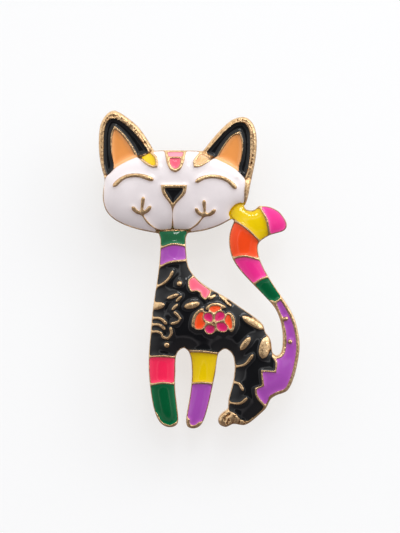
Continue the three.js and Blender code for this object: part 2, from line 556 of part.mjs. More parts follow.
const REGIONS = [
  {
    relief: headRelief,
    region: HEAD,
    // The neck and the tail's hook lie over the edge of the face, and the ears meet it at their walls.
    raised: [...headRaised, grown(BODY, FACE_MARGIN)],
    zones: [['face_white_enamel', WHITE, HEAD]],
    cells: [
      ['nose_black_enamel', BLACK, NOSE],
      ['left_brow_yellow_enamel', YELLOW, LEFT_BROW],
      ['right_brow_peach_enamel', PEACH, RIGHT_BROW],
      ['forehead_light_pink_enamel', LIGHT_PINK, FOREHEAD_TOP],
      ['forehead_deep_pink_enamel', CORAL, FOREHEAD_BOTTOM],
    ],
  },
  {
    relief: bodyRelief,
    region: BODY,
    raised: bodyRaised,
    zones: [
      ['neck_green_enamel', GREEN, NECK_GREEN_ZONE],
      ['neck_purple_enamel', PURPLE, NECK_PURPLE_ZONE],
      ['body_black_enamel', BLACK, BLACK_ZONE],
      ['front_leg_red_enamel', RED, FRONT_RED_ZONE],
      ['front_leg_green_enamel', GREEN, FRONT_GREEN_ZONE],
      ['middle_leg_yellow_enamel', YELLOW, MIDDLE_YELLOW_ZONE],
      ['middle_leg_purple_enamel', PURPLE, MIDDLE_PURPLE_ZONE],
      ['tail_purple_enamel', PURPLE, TAIL_PURPLE_ZONE],
      ['tail_green_enamel', GREEN, TAIL_GREEN_ZONE],
      ['tail_pink_enamel', MAGENTA, TAIL_PINK_ZONE],
      ['tail_orange_enamel', VERMILION, TAIL_ORANGE_ZONE],
      ['tail_yellow_enamel', YELLOW, TAIL_YELLOW_ZONE],
      ['tail_tip_pink_enamel', MAGENTA, TAIL_TIP_ZONE],
    ],
    cells: [
      ['shoulder_pink_enamel', CORAL, SHOULDER],
      ['flower_left_orange_enamel', VERMILION, FLOWER_LEFT],
      ['flower_top_orange_enamel', VERMILION, FLOWER_TOP],
      ['flower_right_orange_enamel', VERMILION, FLOWER_RIGHT],
      ...PETALS.map((petal, i) => [`petal_${i + 1}_pink_enamel`, CRIMSON, petal]),
    ],
  },
  {
    relief: earRelief,
    zones: [],
    cells: [
      ['left_ear_black_enamel', BLACK, LEFT_EAR_BLACK],
      ['left_ear_orange_enamel', ORANGE, LEFT_EAR_ORANGE],
      ['right_ear_black_enamel', BLACK, RIGHT_EAR_BLACK],
      ['right_ear_orange_enamel', ORANGE, RIGHT_EAR_ORANGE],
    ],
  },
];

function enamels() {
  return REGIONS.flatMap((part) => {
    const shell = part.relief(0).subtract(part.relief(GAP - POCKET_DEPTH));
    return pockets(part, GAP).map(([name, finish, pocket]) =>
      named(name, geometryFrom(pocket.intersect(shell)), finish),
    );
  });
}

function casting() {
  const blanks = [
    prism(HEAD).intersect(headRelief(WALL_RISE)),
    prism(BODY).intersect(bodyRelief(WALL_RISE)),
    prism(LEFT_EAR, 0, EAR_RIM),
    prism(RIGHT_EAR, 0, EAR_RIM),
  ];
  let solid = joined(blanks);
  for (const part of REGIONS) {
    const cut = joined(pockets(part, 0).map(([, , pocket]) => pocket));
    solid = solid.subtract(cut.subtract(part.relief(-POCKET_DEPTH)));
  }
  const behindBody = ridge(CHEST, -METAL_BEHIND).add(ridge(BACK, -METAL_BEHIND));
  const hollow = headRelief(-METAL_BEHIND).add(behindBody.intersect(prism(BODY_HOLLOW)));
  const pad = new THREE.BoxGeometry(2 * PAD.halfLength, 2 * PAD.halfWidth, PAD.height);
  const underPad = solidFrom(pad.translate(0, 0, PAD.height / 2));
  return solid.subtract(hollow.subtract(underPad));
}

// ---- Pin back. The stem lies along x, AXIS_DEPTH behind the back plane. ----

const barBack = -GAP - BAR.thickness;

function backBar() {
  const half = BAR.width / 2;
  const plate = new THREE.Shape();
  plate.moveTo(BAR.left + half, -half);
  plate.lineTo(BAR.right - half, -half);
  plate.absarc(BAR.right - half, 0, half, -Math.PI / 2, Math.PI / 2);
  plate.lineTo(BAR.left + half, half);
  plate.absarc(BAR.left + half, 0, half, Math.PI / 2, (3 * Math.PI) / 2);
  for (const x of [-BAR.holeX, 0, BAR.holeX]) {
    const hole = new THREE.Path();
    hole.absarc(x, 0, BAR.holeRadius, 0, 2 * Math.PI);
    plate.holes.push(hole);
  }
  const options = { depth: BAR.thickness, bevelEnabled: false, curveSegments: 8 };
  let bar = solidFrom(new THREE.ExtrudeGeometry(plate, options).translate(0, 0, barBack));
  for (const side of [-1, 1]) {
    bar = bar.add(hingeLug(side * (LUG.innerGap + LUG.thickness) / 2));
  }
  return named('back_bar', geometryFrom(bar), STEEL);
}

// A rounded lug that stands up from the bar, with the rivet's hole through it.
function hingeLug(y) {
  const rise = AXIS_DEPTH + barBack + SINK;
  const crown = LUG.crownRadius;
  const shape = new THREE.Shape();
  shape.moveTo(-crown, 0);
  shape.lineTo(crown, 0);
  shape.absarc(0, rise, crown, 0, Math.PI);
  const hole = new THREE.Path();
  hole.absarc(0, rise, RIVET_HOLE, 0, 2 * Math.PI);
  shape.holes.push(hole);
  const options = { depth: LUG.thickness, bevelEnabled: false, curveSegments: 8 };
  const lug = new THREE.ExtrudeGeometry(shape, options).translate(0, 0, -LUG.thickness / 2);
  lug.rotateX(-Math.PI / 2).translate(HINGE_X, y, barBack + SINK);
  return solidFrom(lug);
}

function hingeRivet() {
  const half = LUG.innerGap / 2 + LUG.thickness + GAP;
  const profile = [
    [0, -half - RIVET.headLength], [RIVET.headRadius, -half - RIVET.headLength], [RIVET.headRadius, -half],
    [RIVET.radius, -half], [RIVET.radius, half], [RIVET.headRadius, half],
    [RIVET.headRadius, half + RIVET.headLength], [0, half + RIVET.headLength],
  ];
  const rivet = named('hinge_rivet', new THREE.LatheGeometry(profile.map(vector), 16), STEEL);
  rivet.position.set(HINGE_X, 0, -AXIS_DEPTH);
  return rivet;
}

function pinStem() {
  const knuckle = new THREE.CylinderGeometry(KNUCKLE.radius, KNUCKLE.radius, KNUCKLE.length, 20);
  const bore = new THREE.CylinderGeometry(RIVET_HOLE, RIVET_HOLE, KNUCKLE.length + OVERCUT, 16);
  const length = STEM.tipX - HINGE_X;
  const shank = [
    [0, STEM.start], [STEM.radius, STEM.start], [STEM.radius, length - STEM.pointLength],
    [STEM.radius / 2, length - STEM.tipLength], [0, length],
  ];
  const wire = new THREE.LatheGeometry(shank.map(vector), 12).rotateZ(-Math.PI / 2);
  const solid = solidFrom(knuckle).add(solidFrom(wire)).subtract(solidFrom(bore));
  const stem = named('pin_stem', geometryFrom(solid), STEEL);
  stem.position.set(HINGE_X, 0, -AXIS_DEPTH);
  return stem;
}

// A disc or ring about the stem's line, from one x to another.
function tube(outer, inner, from, to) {
  const profile = [[inner, from], [outer, from], [outer, to], [inner, to], [inner, from]];
  return solidFrom(new THREE.LatheGeometry(profile.map(vector), 24).rotateZ(-Math.PI / 2));
}

function block(from, to) {
  const size = to.map((value, i) => value - from[i]);
  const box = new THREE.BoxGeometry(...size);
  return solidFrom(box.translate(...from.map((value, i) => value + size[i] / 2)));
}

function safetyCatch() {
  const half = CATCH.length / 2;
  const footTop = AXIS_DEPTH + barBack - GAP;
  const side = CATCH.footWidth / 2;
  const foot = block([-half, -side, CATCH.footStart], [half, side, footTop]);
  const mouth = block(
    [-half - OVERCUT, -CATCH.mouth / 2, -CATCH.outer - OVERCUT],
    [half + OVERCUT, CATCH.mouth / 2, 0],
  );
  const solid = tube(CATCH.outer, CATCH.inner, -half, half).add(foot).subtract(mouth);
  const body = named('catch_body', geometryFrom(solid), STEEL);
  body.position.set(CATCH.x, 0, -AXIS_DEPTH);
  return body;
}

function lockRotor() {
  const half = CATCH.length / 2 + GAP;
  const flangeEnd = half + ROTOR.flange;
  const tab = new THREE.BoxGeometry(ROTOR.flange, LEVER.width, LEVER.reach - LEVER.start);
  tab.translate(half + ROTOR.flange / 2, 0, -(LEVER.reach + LEVER.start) / 2);
  tab.rotateX(THREE.MathUtils.degToRad(LEVER.tilt));
  const slot = block(
    [-half - OVERCUT, -ROTOR.slot / 2, -LEVER.reach],
    [flangeEnd + OVERCUT, ROTOR.slot / 2, 0],
  );
  const solid = tube(ROTOR.outer, ROTOR.bore, -half, half)
    .add(tube(ROTOR.flangeRadius, ROTOR.bore, half, flangeEnd))
    .add(tube(ROTOR.collarRadius, ROTOR.bore, -half - ROTOR.collar, -half))
    .subtract(slot)
    .add(solidFrom(tab));
  const rotor = named('lock_rotor', geometryFrom(solid), STEEL);
  rotor.position.set(CATCH.x, 0, -AXIS_DEPTH);
  return rotor;
}

const upright = new THREE.Group();
upright.rotation.x = Math.PI / 2;
upright.add(named('cast_body', geometryFrom(casting()), GOLD), ...enamels());
upright.add(backBar(), hingeRivet(), pinStem(), safetyCatch(), lockRotor());

export default upright;
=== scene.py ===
"""The looks of the cat brooch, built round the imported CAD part.

The casting and its enamels are rebuilt with rounded surfaces from the outlines of the CAD nodes. Work on
them is in the plane of the pin, in millimetres: u to the right, v up, and h the height towards the viewer,
so a point is at (u, -h, v) in the frame. The pin back is rebuilt with bevelled edges.
"""

import json
import math

import bpy
import numpy as np
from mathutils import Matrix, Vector, kdtree, noise
from mathutils.geometry import delaunay_2d_cdt


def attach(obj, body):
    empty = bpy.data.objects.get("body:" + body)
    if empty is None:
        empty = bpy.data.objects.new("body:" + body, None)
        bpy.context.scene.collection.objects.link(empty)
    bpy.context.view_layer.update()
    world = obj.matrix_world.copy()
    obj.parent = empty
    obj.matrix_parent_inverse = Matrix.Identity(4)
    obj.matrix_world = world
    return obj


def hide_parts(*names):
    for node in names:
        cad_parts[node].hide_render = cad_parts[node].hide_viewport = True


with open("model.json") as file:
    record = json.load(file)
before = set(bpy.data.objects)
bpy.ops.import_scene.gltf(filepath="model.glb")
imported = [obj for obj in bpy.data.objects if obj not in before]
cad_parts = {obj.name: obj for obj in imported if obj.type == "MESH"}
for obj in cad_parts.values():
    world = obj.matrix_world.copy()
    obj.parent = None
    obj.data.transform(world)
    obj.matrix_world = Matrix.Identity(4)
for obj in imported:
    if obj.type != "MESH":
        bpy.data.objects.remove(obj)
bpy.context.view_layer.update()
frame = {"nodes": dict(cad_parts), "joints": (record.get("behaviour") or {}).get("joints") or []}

MM = 0.001

# ---- The relief, in millimetres ----

GAP = 0.1  # the CAD's spare between an enamel and its pocket
PETAL_SPREAD = 0.05  # how far the petals reach over their walls
BODY_EDGE = 1.7  # surface at the outline of the head and the body
HEAD_SWELL, BODY_SWELL = 5.0, 2.6  # most that the surface may rise from there
NEAREST_PULL = 0.02
EAR_LEVEL = 1.4
PLUMP = 0.42  # how far the surface swells towards the middle of a limb
EDGE_SOFTNESS = 0.35
POCKET_DEPTH = 0.6
FILL_DEPTH = 0.55

LOOP_SPACING = 0.15
# Rows of points beside the walls and the rim: how far away, and the least gap between their points.
METAL_ROWS = ((0.045, 0.04), (0.11, 0.0605), (0.2, 0.11))
ENAMEL_ROWS = ((0.07, 0.06), (0.17, 0.085), (0.32, 0.16), (0.52, 0.26))
RIM_ROWS = ((0.06, 0.05), (0.13, 0.052), (0.22, 0.088))
RIM_ROWS += tuple((row, 0.13) for row in (0.35, 0.48, 0.58, 0.68, 0.8, 0.95))
ROW_KEEPS = 0.9  # share of its distance that a point of a row has to keep from everything
RIM_SPARE, WALL_SPARE = 0.03, 0.04  # least distance of the rows from the rim and from the walls
GRID_SPACING, GRID_KEEPS = 0.34, 0.6  # the even grid between them
GRID_RIM_SPARE, GRID_WALL_SPARE = 0.15, 0.2

HEAD, BODY, EAR = range(3)
# Each enamel, without the last word of its node: the part it is on, its colour, and how deep it sinks.
FILLS = {
    "face_white": (HEAD, "white", 0.14),
    "nose_black": (HEAD, "black", 0.16),
    "left_brow_yellow": (HEAD, "yellow", 0.16),
    "right_brow_peach": (HEAD, "peach", 0.16),
    "forehead_light_pink": (HEAD, "light_pink", 0.12),
    "forehead_deep_pink": (HEAD, "coral", 0.16),
    "left_ear_black": (EAR, "black", 0.24),
    "left_ear_orange": (EAR, "ear_orange", 0.2),
    "right_ear_black": (EAR, "black", 0.24),
    "right_ear_orange": (EAR, "ear_orange", 0.2),
    "neck_green": (BODY, "green", 0.16),
    "neck_purple": (BODY, "purple", 0.16),
    "body_black": (BODY, "black", 0.2),
    "shoulder_pink": (BODY, "coral", 0.14),
    **{f"flower_{side}_orange": (BODY, "vermilion", 0.12) for side in ("left", "top", "right")},
    **{f"petal_{number}_pink": (BODY, "crimson", 0.12) for number in (1, 2, 3, 4)},
    "front_leg_red": (BODY, "red", 0.16),
    "front_leg_green": (BODY, "green", 0.16),
    "middle_leg_yellow": (BODY, "yellow", 0.16),
    "middle_leg_purple": (BODY, "purple", 0.16),
    "tail_purple": (BODY, "purple", 0.16),
    "tail_green": (BODY, "green", 0.16),
    "tail_pink": (BODY, "magenta", 0.16),
    "tail_orange": (BODY, "vermilion", 0.16),
    "tail_yellow": (BODY, "yellow", 0.16),
    "tail_tip_pink": (BODY, "magenta", 0.16),
}
METAL = -1  # in place of an enamel's number


# ---- Outlines in the plane ----


def welded(name):
    """A CAD node's points, in millimetres, and its triangles, with doubled points joined."""
    mesh = frame["nodes"][name].data
    mesh.calc_loop_triangles()
    points = np.empty(len(mesh.vertices) * 3, np.float32)
    mesh.vertices.foreach_get("co", points)
    corners = np.empty(len(mesh.loop_triangles) * 3, np.int32)
    mesh.loop_triangles.foreach_get("vertices", corners)
    points = points.reshape(-1, 3).astype(float) / MM
    _, first, joined = np.unique(points.round(4), axis=0, return_index=True, return_inverse=True)
    return points[first], joined.reshape(-1)[corners].reshape(-1, 3)


def normals(points, triangles):
    """The direction that each triangle faces."""
    a, b, c = points[triangles].transpose(1, 0, 2)
    out = np.cross(b - a, c - a)
    return out / np.maximum(np.linalg.norm(out, axis=1, keepdims=True), 1e-12)


def loops_round(triangles):
    """The closed chains of edges that only one triangle has, each with the triangles on its left."""
    edges = {(int(t[i]), int(t[(i + 1) % 3])) for t in triangles for i in range(3)}
    following = {}
    for a, b in sorted(edges):
        if (b, a) not in edges:
            following.setdefault(a, []).append(b)
    loops = []
    while following:
        loop = [min(following)]
        while len(loop) == 1 or loop[-1] != loop[0]:
            ways = following[loop[-1]]
            loop.append(ways.pop())
            if not ways:
                del following[loop[-2]]
        loops.append(loop[:-1])
    return loops


def cross2(a, b):
    return a[..., 0] * b[..., 1] - a[..., 1] * b[..., 0]


def signed_area(loop):
    return cross2(loop, np.roll(loop, -1, 0)).sum() / 2


def without_spare_points(loop, tolerance=0.012):
    """The loop without the points that lie on the line between their neighbours."""
    kept = [np.array(p) for p in loop]
    i = 0
    since = 0
    while since < len(kept) and len(kept) > 4:
        i %= len(kept)
        before, after = kept[i - 1], kept[(i + 1) % len(kept)]
        chord = after - before
        if abs(cross2(chord, kept[i] - before)) < tolerance * np.linalg.norm(chord):
            del kept[i]
            since = 0
        else:
            i += 1
            since += 1
    return np.array(kept)


def without_slits(loop, longest=8):
    """The loop without the short ways out and back, which a step in the surface leaves."""
    places = [tuple(p) for p in loop.round(3)]
    i = 0
    while i < len(places):
        again = [j for j in range(i + 1, min(i + longest, len(places))) if places[j] == places[i]]
        if again:
            del places[i + 1 : again[-1] + 1]
        i += 1
    return np.array(places)


CORNER_TURN = math.radians(52)
CORNER_EDGE = 0.45
SMALL_CELL = 5  # square millimetres
SMALL_SPACING = 0.7  # of the usual, in a small cell
CURVE_STEP = 0.05
LEAST_POINTS = 10


def spline_point(p0, p1, p2, p3, s):
    """A point of the centripetal Catmull-Rom curve from p1 to p2."""
    t1 = max(np.linalg.norm(p1 - p0), 1e-6) ** 0.5
    t2 = t1 + max(np.linalg.norm(p2 - p1), 1e-6) ** 0.5
    t3 = t2 + max(np.linalg.norm(p3 - p2), 1e-6) ** 0.5
    t = t1 + s * (t2 - t1)
    a1 = p0 * (t1 - t) / t1 + p1 * t / t1
    a2 = p1 * (t2 - t) / (t2 - t1) + p2 * (t - t1) / (t2 - t1)
    a3 = p2 * (t3 - t) / (t3 - t2) + p3 * (t - t2) / (t3 - t2)
    b1 = a1 * (t2 - t) / t2 + a2 * t / t2
    b2 = a2 * (t3 - t) / (t3 - t1) + a3 * (t - t1) / (t3 - t1)
    return b1 * (t2 - t) / (t2 - t1) + b2 * (t - t1) / (t2 - t1)


def smoothed(loop, spacing=LOOP_SPACING):
    """The loop as an even row of points on a smooth curve, with its real corners kept but eased."""
    n = len(loop)
    small = abs(signed_area(loop)) < SMALL_CELL
    spacing, softening = (spacing * SMALL_SPACING, 1) if small else (spacing, 2)
    edge = np.roll(loop, -1, 0) - loop
    length = np.linalg.norm(edge, axis=1)
    angle = np.arctan2(edge[:, 1], edge[:, 0])
    turn = np.abs((angle - np.roll(angle, 1) + math.pi) % math.tau - math.pi)
    corner = (turn > CORNER_TURN) & (length > CORNER_EDGE) & (np.roll(length, 1) > CORNER_EDGE)
    dense = []
    for i in range(n):
        p1, p2 = loop[i], loop[(i + 1) % n]
        p0 = 2 * p1 - p2 if corner[i] else loop[i - 1]
        p3 = 2 * p2 - p1 if corner[(i + 1) % n] else loop[(i + 2) % n]
        steps = max(2, math.ceil(length[i] / CURVE_STEP))
        dense.extend(spline_point(p0, p1, p2, p3, k / steps) for k in range(steps))
    dense = np.array(dense)
    around = np.concatenate([[0], np.linalg.norm(np.roll(dense, -1, 0) - dense, axis=1).cumsum()])
    closed = np.vstack([dense, dense[:1]])
    count = max(LEAST_POINTS, round(around[-1] / spacing))
    at = np.arange(count) * around[-1] / count
    even = np.column_stack([np.interp(at, around, closed[:, k]) for k in range(2)])
    for _ in range(softening):
        even = even / 2 + np.roll(even, 1, 0) / 4 + np.roll(even, -1, 0) / 4
    return even


def side_normals(loop):
    """At each point, the direction to the right of the loop's travel: out of what it goes round."""
    along = np.roll(loop, -1, 0) - np.roll(loop, 1, 0)
    out = np.column_stack([along[:, 1], -along[:, 0]])
    return out / np.maximum(np.linalg.norm(out, axis=1, keepdims=True), 1e-9)


def moved_out(loop, distance):
    return loop + distance * side_normals(loop)


class Shore:
    """Closed loops, and how far points are from them."""

    def __init__(self, loops):
        self.points = np.vstack(loops)
        self.before = np.vstack([np.roll(loop, 1, 0) for loop in loops])
        self.after = np.vstack([np.roll(loop, -1, 0) for loop in loops])
        self.out = np.vstack([side_normals(loop) for loop in loops])
        self.owner = np.repeat(np.arange(len(loops)), [len(loop) for loop in loops])
        self.tree = kdtree.KDTree(len(self.points))
        for i, (u, v) in enumerate(self.points):
            self.tree.insert((u, v, 0), i)
        self.tree.balance()

    def nearest(self, points):
        return np.array([self.tree.find((u, v, 0))[1] for u, v in points], int).reshape(-1)

    def distance(self, points):
        """Distance from each point, positive on the right of the loops and negative on their left."""
        near = self.nearest(points)
        best = np.full(len(points), np.inf)
        for other in (self.before, self.after):
            a, b = self.points[near], other[near]
            along = b - a
            s = ((points - a) * along).sum(1) / np.maximum((along**2).sum(1), 1e-12)
            foot = a + np.clip(s, 0, 1)[:, None] * along
            best = np.minimum(best, np.linalg.norm(points - foot, axis=1))
        side = ((points - self.points[near]) * self.out[near]).sum(1)
        return np.where(side >= 0, best, -best)


def grown(loop, distance):
    """The loop moved out, without the points that would tangle where it turns inwards."""
    moved = moved_out(loop, distance)
    return moved[Shore([loop]).distance(moved) > ROW_KEEPS * distance]


# The loops of each cell, the pocket of one enamel, drawn out to its walls, and the loops of the casting.
FACING_FRONT = -0.3  # most that the y of a front face's direction may be
LEAST_CELL, LEAST_OPENING = 0.02, 1  # square millimetres
ON_BACK = 1e-3
WELL_WITHIN = 0.2
cell_names = list(FILLS)
cell_group = np.array([group for group, _, _ in FILLS.values()])
cell_loops = []  # (cell, loop)
for cell, name in enumerate(cell_names):
    points, triangles = welded(name + "_enamel")
    front = triangles[normals(points, triangles)[:, 1] < FACING_FRONT]
    reach = GAP + PETAL_SPREAD * name.startswith("petal")
    for chain in loops_round(front):
        loop = without_spare_points(without_slits(points[chain][:, [0, 2]]))
        if abs(signed_area(loop)) > LEAST_CELL:
            cell_loops.append((cell, grown(smoothed(loop), reach)))

cast_points, cast_triangles = welded("cast_body")
flat = np.abs(cast_points[cast_triangles][:, :, 1]).max(1) < ON_BACK
back_loops = [
    smoothed(without_spare_points(cast_points[chain][:, [0, 2]][::-1]))
    for chain in loops_round(cast_triangles[flat])
]
back_loops.sort(key=signed_area, reverse=True)
rims, hollow_loops = back_loops[:1], []
for loop in back_loops[1:]:
    if abs(signed_area(loop)) > LEAST_OPENING:
        has_metal = (Shore([loop]).distance(cast_points[:, [0, 2]]) > WELL_WITHIN).any()
        (hollow_loops if has_metal else rims).append(loop)

pockets = [loop for _, loop in cell_loops]
shore = Shore(pockets)
shore_group = cell_group[[cell_loops[k][0] for k in shore.owner]]
outside = Shore(rims)


# ---- One triangulation for everything ----

JOINING = 1e-4  # points this close become one


def triangulated(loops, loose):
    """Triangles that keep the loops' edges: the points, the triangles, and the loops that each is in."""
    faces, start = [], 0
    for loop in loops:
        index = list(range(start, start + len(loop)))
        faces.append(index if signed_area(loop) > 0 else index[::-1])
        start += len(loop)
    given = [Vector(p) for p in np.vstack([*loops, loose])]
    points, _, triangles, from_points, _, from_faces = delaunay_2d_cdt(given, [], faces, 0, JOINING, True)
    points, triangles = np.array([tuple(p) for p in points]), np.array(triangles)
    a, b, c = points[triangles].transpose(1, 0, 2)
    turned = cross2(b - a, c - a) < 0
    triangles[turned] = triangles[turned][:, ::-1]
    return points, triangles, from_points, [set(f) for f in from_faces]


def spread(candidates, taken, gap):
    """The candidates that keep a gap to the points already taken and to one another."""
    cells = {}
    for p in taken:
        cells.setdefault((math.floor(p[0] / gap), math.floor(p[1] / gap)), []).append(p)
    kept = []
    for p in candidates:
        i, j = math.floor(p[0] / gap), math.floor(p[1] / gap)
        near = (q for di in (-1, 0, 1) for dj in (-1, 0, 1) for q in cells.get((i + di, j + dj), ()))
        if all((p[0] - q[0]) ** 2 + (p[1] - q[1]) ** 2 > gap * gap for q in near):
            kept.append(p)
            cells.setdefault((i, j), []).append(p)
    return kept


def hexagonal_grid(low, high, step):
    rows = np.arange(low[1], high[1], step * math.sqrt(3) / 2)
    return np.array([
        (u + (k % 2) * step / 2, v) for k, v in enumerate(rows) for u in np.arange(low[0], high[0], step)
    ])


loose = []


def add_row(loops, shift, from_walls, from_rim, gap):
    """Adds the loops' points, moved out by the shift, where they are clear of the walls and the rim."""
    points = np.vstack([moved_out(loop, shift) for loop in loops])
    clear = shore.distance(points) * math.copysign(1, from_walls) > abs(from_walls)
    fits = clear & (outside.distance(points) < -from_rim)
    loose.extend(spread(points[fits].tolist(), loose, gap))


for row, gap in METAL_ROWS:
    add_row(pockets, row, ROW_KEEPS * row, RIM_SPARE, gap)
for row, gap in ENAMEL_ROWS:
    add_row(pockets, -row, -ROW_KEEPS * row, RIM_SPARE, gap)
for row, gap in RIM_ROWS:
    add_row(rims, -row, WALL_SPARE, ROW_KEEPS * row, gap)
grid = hexagonal_grid(rims[0].min(0), rims[0].max(0), GRID_SPACING)
grid = grid[outside.distance(grid) < -GRID_RIM_SPARE]
grid = grid[np.abs(shore.distance(grid)) > GRID_WALL_SPARE]
loose += spread(grid.tolist(), loose, GRID_KEEPS * GRID_SPACING)

all_loops = pockets + rims
signed = [signed_area(loop) for loop in all_loops]
spots, tiles, _, in_loops = triangulated(all_loops, np.array(loose))


def owner_of(loops_in):
    """The cell that a triangle belongs to, or METAL, or None outside the first rim, the outline."""
    if {k for k in loops_in if k >= len(cell_loops)} != {len(cell_loops)}:
        return None
    holes = {cell_loops[k][0] for k in loops_in if k < len(cell_loops) and signed[k] < 0}
    for k in loops_in:
        if k < len(cell_loops) and signed[k] > 0 and cell_loops[k][0] not in holes:
            return cell_loops[k][0]
    return METAL


owners = [owner_of(s) for s in in_loops]
keep = np.array([o is not None for o in owners])
tiles, owner = tiles[keep], np.array([o for o in owners if o is not None])
middle = spots[tiles].mean(1)
group = np.where(owner == METAL, shore_group[shore.nearest(middle)], cell_group[owner])


# ---- Heights ----

PROUD = 0.2  # gold over the enamel beside it
METAL_ROUND = 0.21
RIM_DROP = 0.3
RIM_ROUND = 0.25
MENISCUS = 0.3
BAND_WIDTH = 0.95  # widest gold that an enamel covers between itself and the face
# The profile of the gold round an ear, from its edge to the wall, as (share of the way, height).
EAR_RIM = (
    (0, 1.0), (0.05, 1.28), (0.16, 1.52), (0.34, 1.74), (0.5, 1.82), (0.57, 1.66), (0.64, 1.82),
    (0.76, 2.04), (0.88, 2.0), (0.97, 1.75), (1, 1.4),
)
EAR_RIM_LEAST, EAR_RIM_MOST = 0.6, 2.2  # how wide the gold is where it has this profile
BUMP_RISE, BUMP_FADE, BUMPS_PER_MM = 0.05, 0.1, 2.3
LEAF_DOME = 0.16  # more height in the middle of a leaf
DOME_START, DOME_REACH, DOME_FADE = 0.15, 0.3, 0.6
# Beads of gold: place and radius.
BEADS = ((0.66, -17.5, 0.5), (-1.7, -29.0, 0.5), (20.6, -24.1, 0.42), (21.35, -28.4, 0.42))
BEAD_RISE = 0.25
# The bead in the middle of the flower: its place, and its profile as (height, radius) with a dimple on top.
HEART = (7.06, -24.96)
HEART_PROFILE = (
    (-0.3, 0), (-0.3, 0.5), (0.12, 0.5), (0.27, 0.46), (0.35, 0.38), (0.36, 0.3), (0.3, 0.22),
    (0.12, 0.17), (0.08, 0.1), (0.08, 0),
)
HEART_DIMPLE = 3  # rings of the profile that are in the dimple
HEART_SIDES = 24
# Grooves cut in the gold, between the toes: from, to, width, depth.
GROOVES = (
    ((10.1, -41.9), (9.15, -42.95), 0.2, 0.5), ((10.05, -43.05), (9.5, -43.7), 0.16, 0.4),
    ((10.95, -41.95), (10.9, -42.85), 0.11, 0.3), ((10.75, -43.1), (10.6, -43.8), 0.14, 0.35),
    ((11.9, -43.1), (11.75, -43.9), 0.13, 0.4), ((12.9, -43.3), (12.75, -44.0), 0.12, 0.35),
)
GROOVE_FADE = 0.25
# Painted shade on the gold: how dark it is below its surroundings, against a wall, and in the groove across
# an ear's rim.
SHADE_REACH = 6  # steps from point to point
SHADE_DEPTH, MOST_SHADE = 0.1, 0.8
WALL_SHADE, WALL_SHADE_WIDTH = 0.7, 0.05
RIM_SHADE, RIM_SHADE_AT, RIM_SHADE_WIDTH = 0.9, 0.57, 0.07
MOST_ROUNDS, PRECISION = 3000, 1e-5  # of the membrane's solution
TINY = 1e-6


def membrane(triangles, held):
    """How high a membrane over the triangles swells when the held points stay down (Poisson's equation)."""
    a, b, c = spots[triangles].transpose(1, 0, 2)
    twice_area = cross2(b - a, c - a)
    sides = (c - b, a - c, b - a)
    n = len(spots)
    pairs, weights = [], []
    for i, j in ((0, 1), (1, 2), (2, 0)):
        pairs.append(np.sort(triangles[:, [i, j]], axis=1))
        weights.append(-(sides[i] * sides[j]).sum(1) / (2 * twice_area))
    pairs = np.vstack(pairs)
    keys, joined = np.unique(pairs[:, 0] * n + pairs[:, 1], return_inverse=True)
    weights = np.bincount(joined.reshape(-1), np.concatenate(weights))
    first, second = keys // n, keys % n
    free = np.zeros(n, bool)
    free[triangles.ravel()] = True
    free[held] = False

    def stiffness(x):
        flow = weights * (x[first] - x[second])
        return (np.bincount(first, flow, n) - np.bincount(second, flow, n)) * free

    diagonal = np.bincount(first, weights, n) + np.bincount(second, weights, n)
    diagonal[~free] = 1
    x = np.zeros(n)
    residual = np.bincount(triangles.ravel(), np.repeat(twice_area / 6, 3), n) * free
    start = np.linalg.norm(residual)
    step = residual / diagonal
    energy = residual @ step
    for _ in range(MOST_ROUNDS):
        pushed = stiffness(step)
        scale = energy / (step @ pushed)
        x += scale * step
        residual = residual - scale * pushed
        if np.linalg.norm(residual) < PRECISION * start:
            break
        eased = residual / diagonal
        energy, before = residual @ eased, energy
        step = eased + energy / before * step
    return x


def swell(pressure, most):
    """A rounded surface over a membrane's height, that levels out towards the most."""
    high = PLUMP * (np.sqrt(2 * np.maximum(pressure, 0) + EDGE_SOFTNESS**2) - EDGE_SOFTNESS)
    return most * np.tanh(high / most)


def quarter_round(t):
    """Rises from 0 to 1 along a quarter of a circle."""
    return np.sqrt(1 - (1 - np.clip(t, 0, 1)) ** 2)


def from_cells(cells, points):
    """How far each point is from the walls of some of the cells."""
    return np.abs(Shore([loop for cell, loop in cell_loops if cell in cells]).distance(points))


shore_distance = shore.distance(spots)
edge_distance = np.maximum(-outside.distance(spots), 0)
on_edge = np.zeros(len(spots), bool)
silhouette_chains = loops_round(tiles)
on_edge[np.concatenate(silhouette_chains)] = True

head, body = tiles[group == HEAD], tiles[group == BODY]
body_held = np.append(np.flatnonzero(on_edge), np.intersect1d(head, body))
group_height = np.array([
    BODY_EDGE + swell(membrane(head, np.concatenate(loops_round(head))), HEAD_SWELL),
    BODY_EDGE + swell(membrane(body, body_held), BODY_SWELL),
    np.full(len(spots), EAR_LEVEL),
])
point_cell = np.full(len(spots), METAL)
for cell in reversed(range(len(cell_names))):
    point_cell[tiles[owner == cell].ravel()] = cell
group_distance = np.array([from_cells(np.flatnonzero(cell_group == g), spots) for g in (HEAD, BODY, EAR)])
# Between the groups, each pulls the surface to its own height, the nearer the more.
pull = 1 / np.maximum(group_distance, NEAREST_PULL) ** 2
surface = (pull * group_height).sum(0) / pull.sum(0)
in_cell = point_cell != METAL
surface[in_cell] = group_height[cell_group[point_cell[in_cell]], np.flatnonzero(in_cell)]

# The orange of an ear runs on over the gold up to the face, and so does the yellow of the tail.
face_distance = from_cells([cell_names.index("face_white")], middle)
band = np.zeros(len(tiles), bool)
for name in ("left_ear_orange", "right_ear_orange", "tail_yellow"):
    cell = cell_names.index(name)
    width = from_cells([cell], middle) + face_distance
    mine = (owner == METAL) & (width < BAND_WIDTH) & ~on_edge[tiles].any(1)
    owner[mine] = cell
    if "ear" in name:
        band |= mine

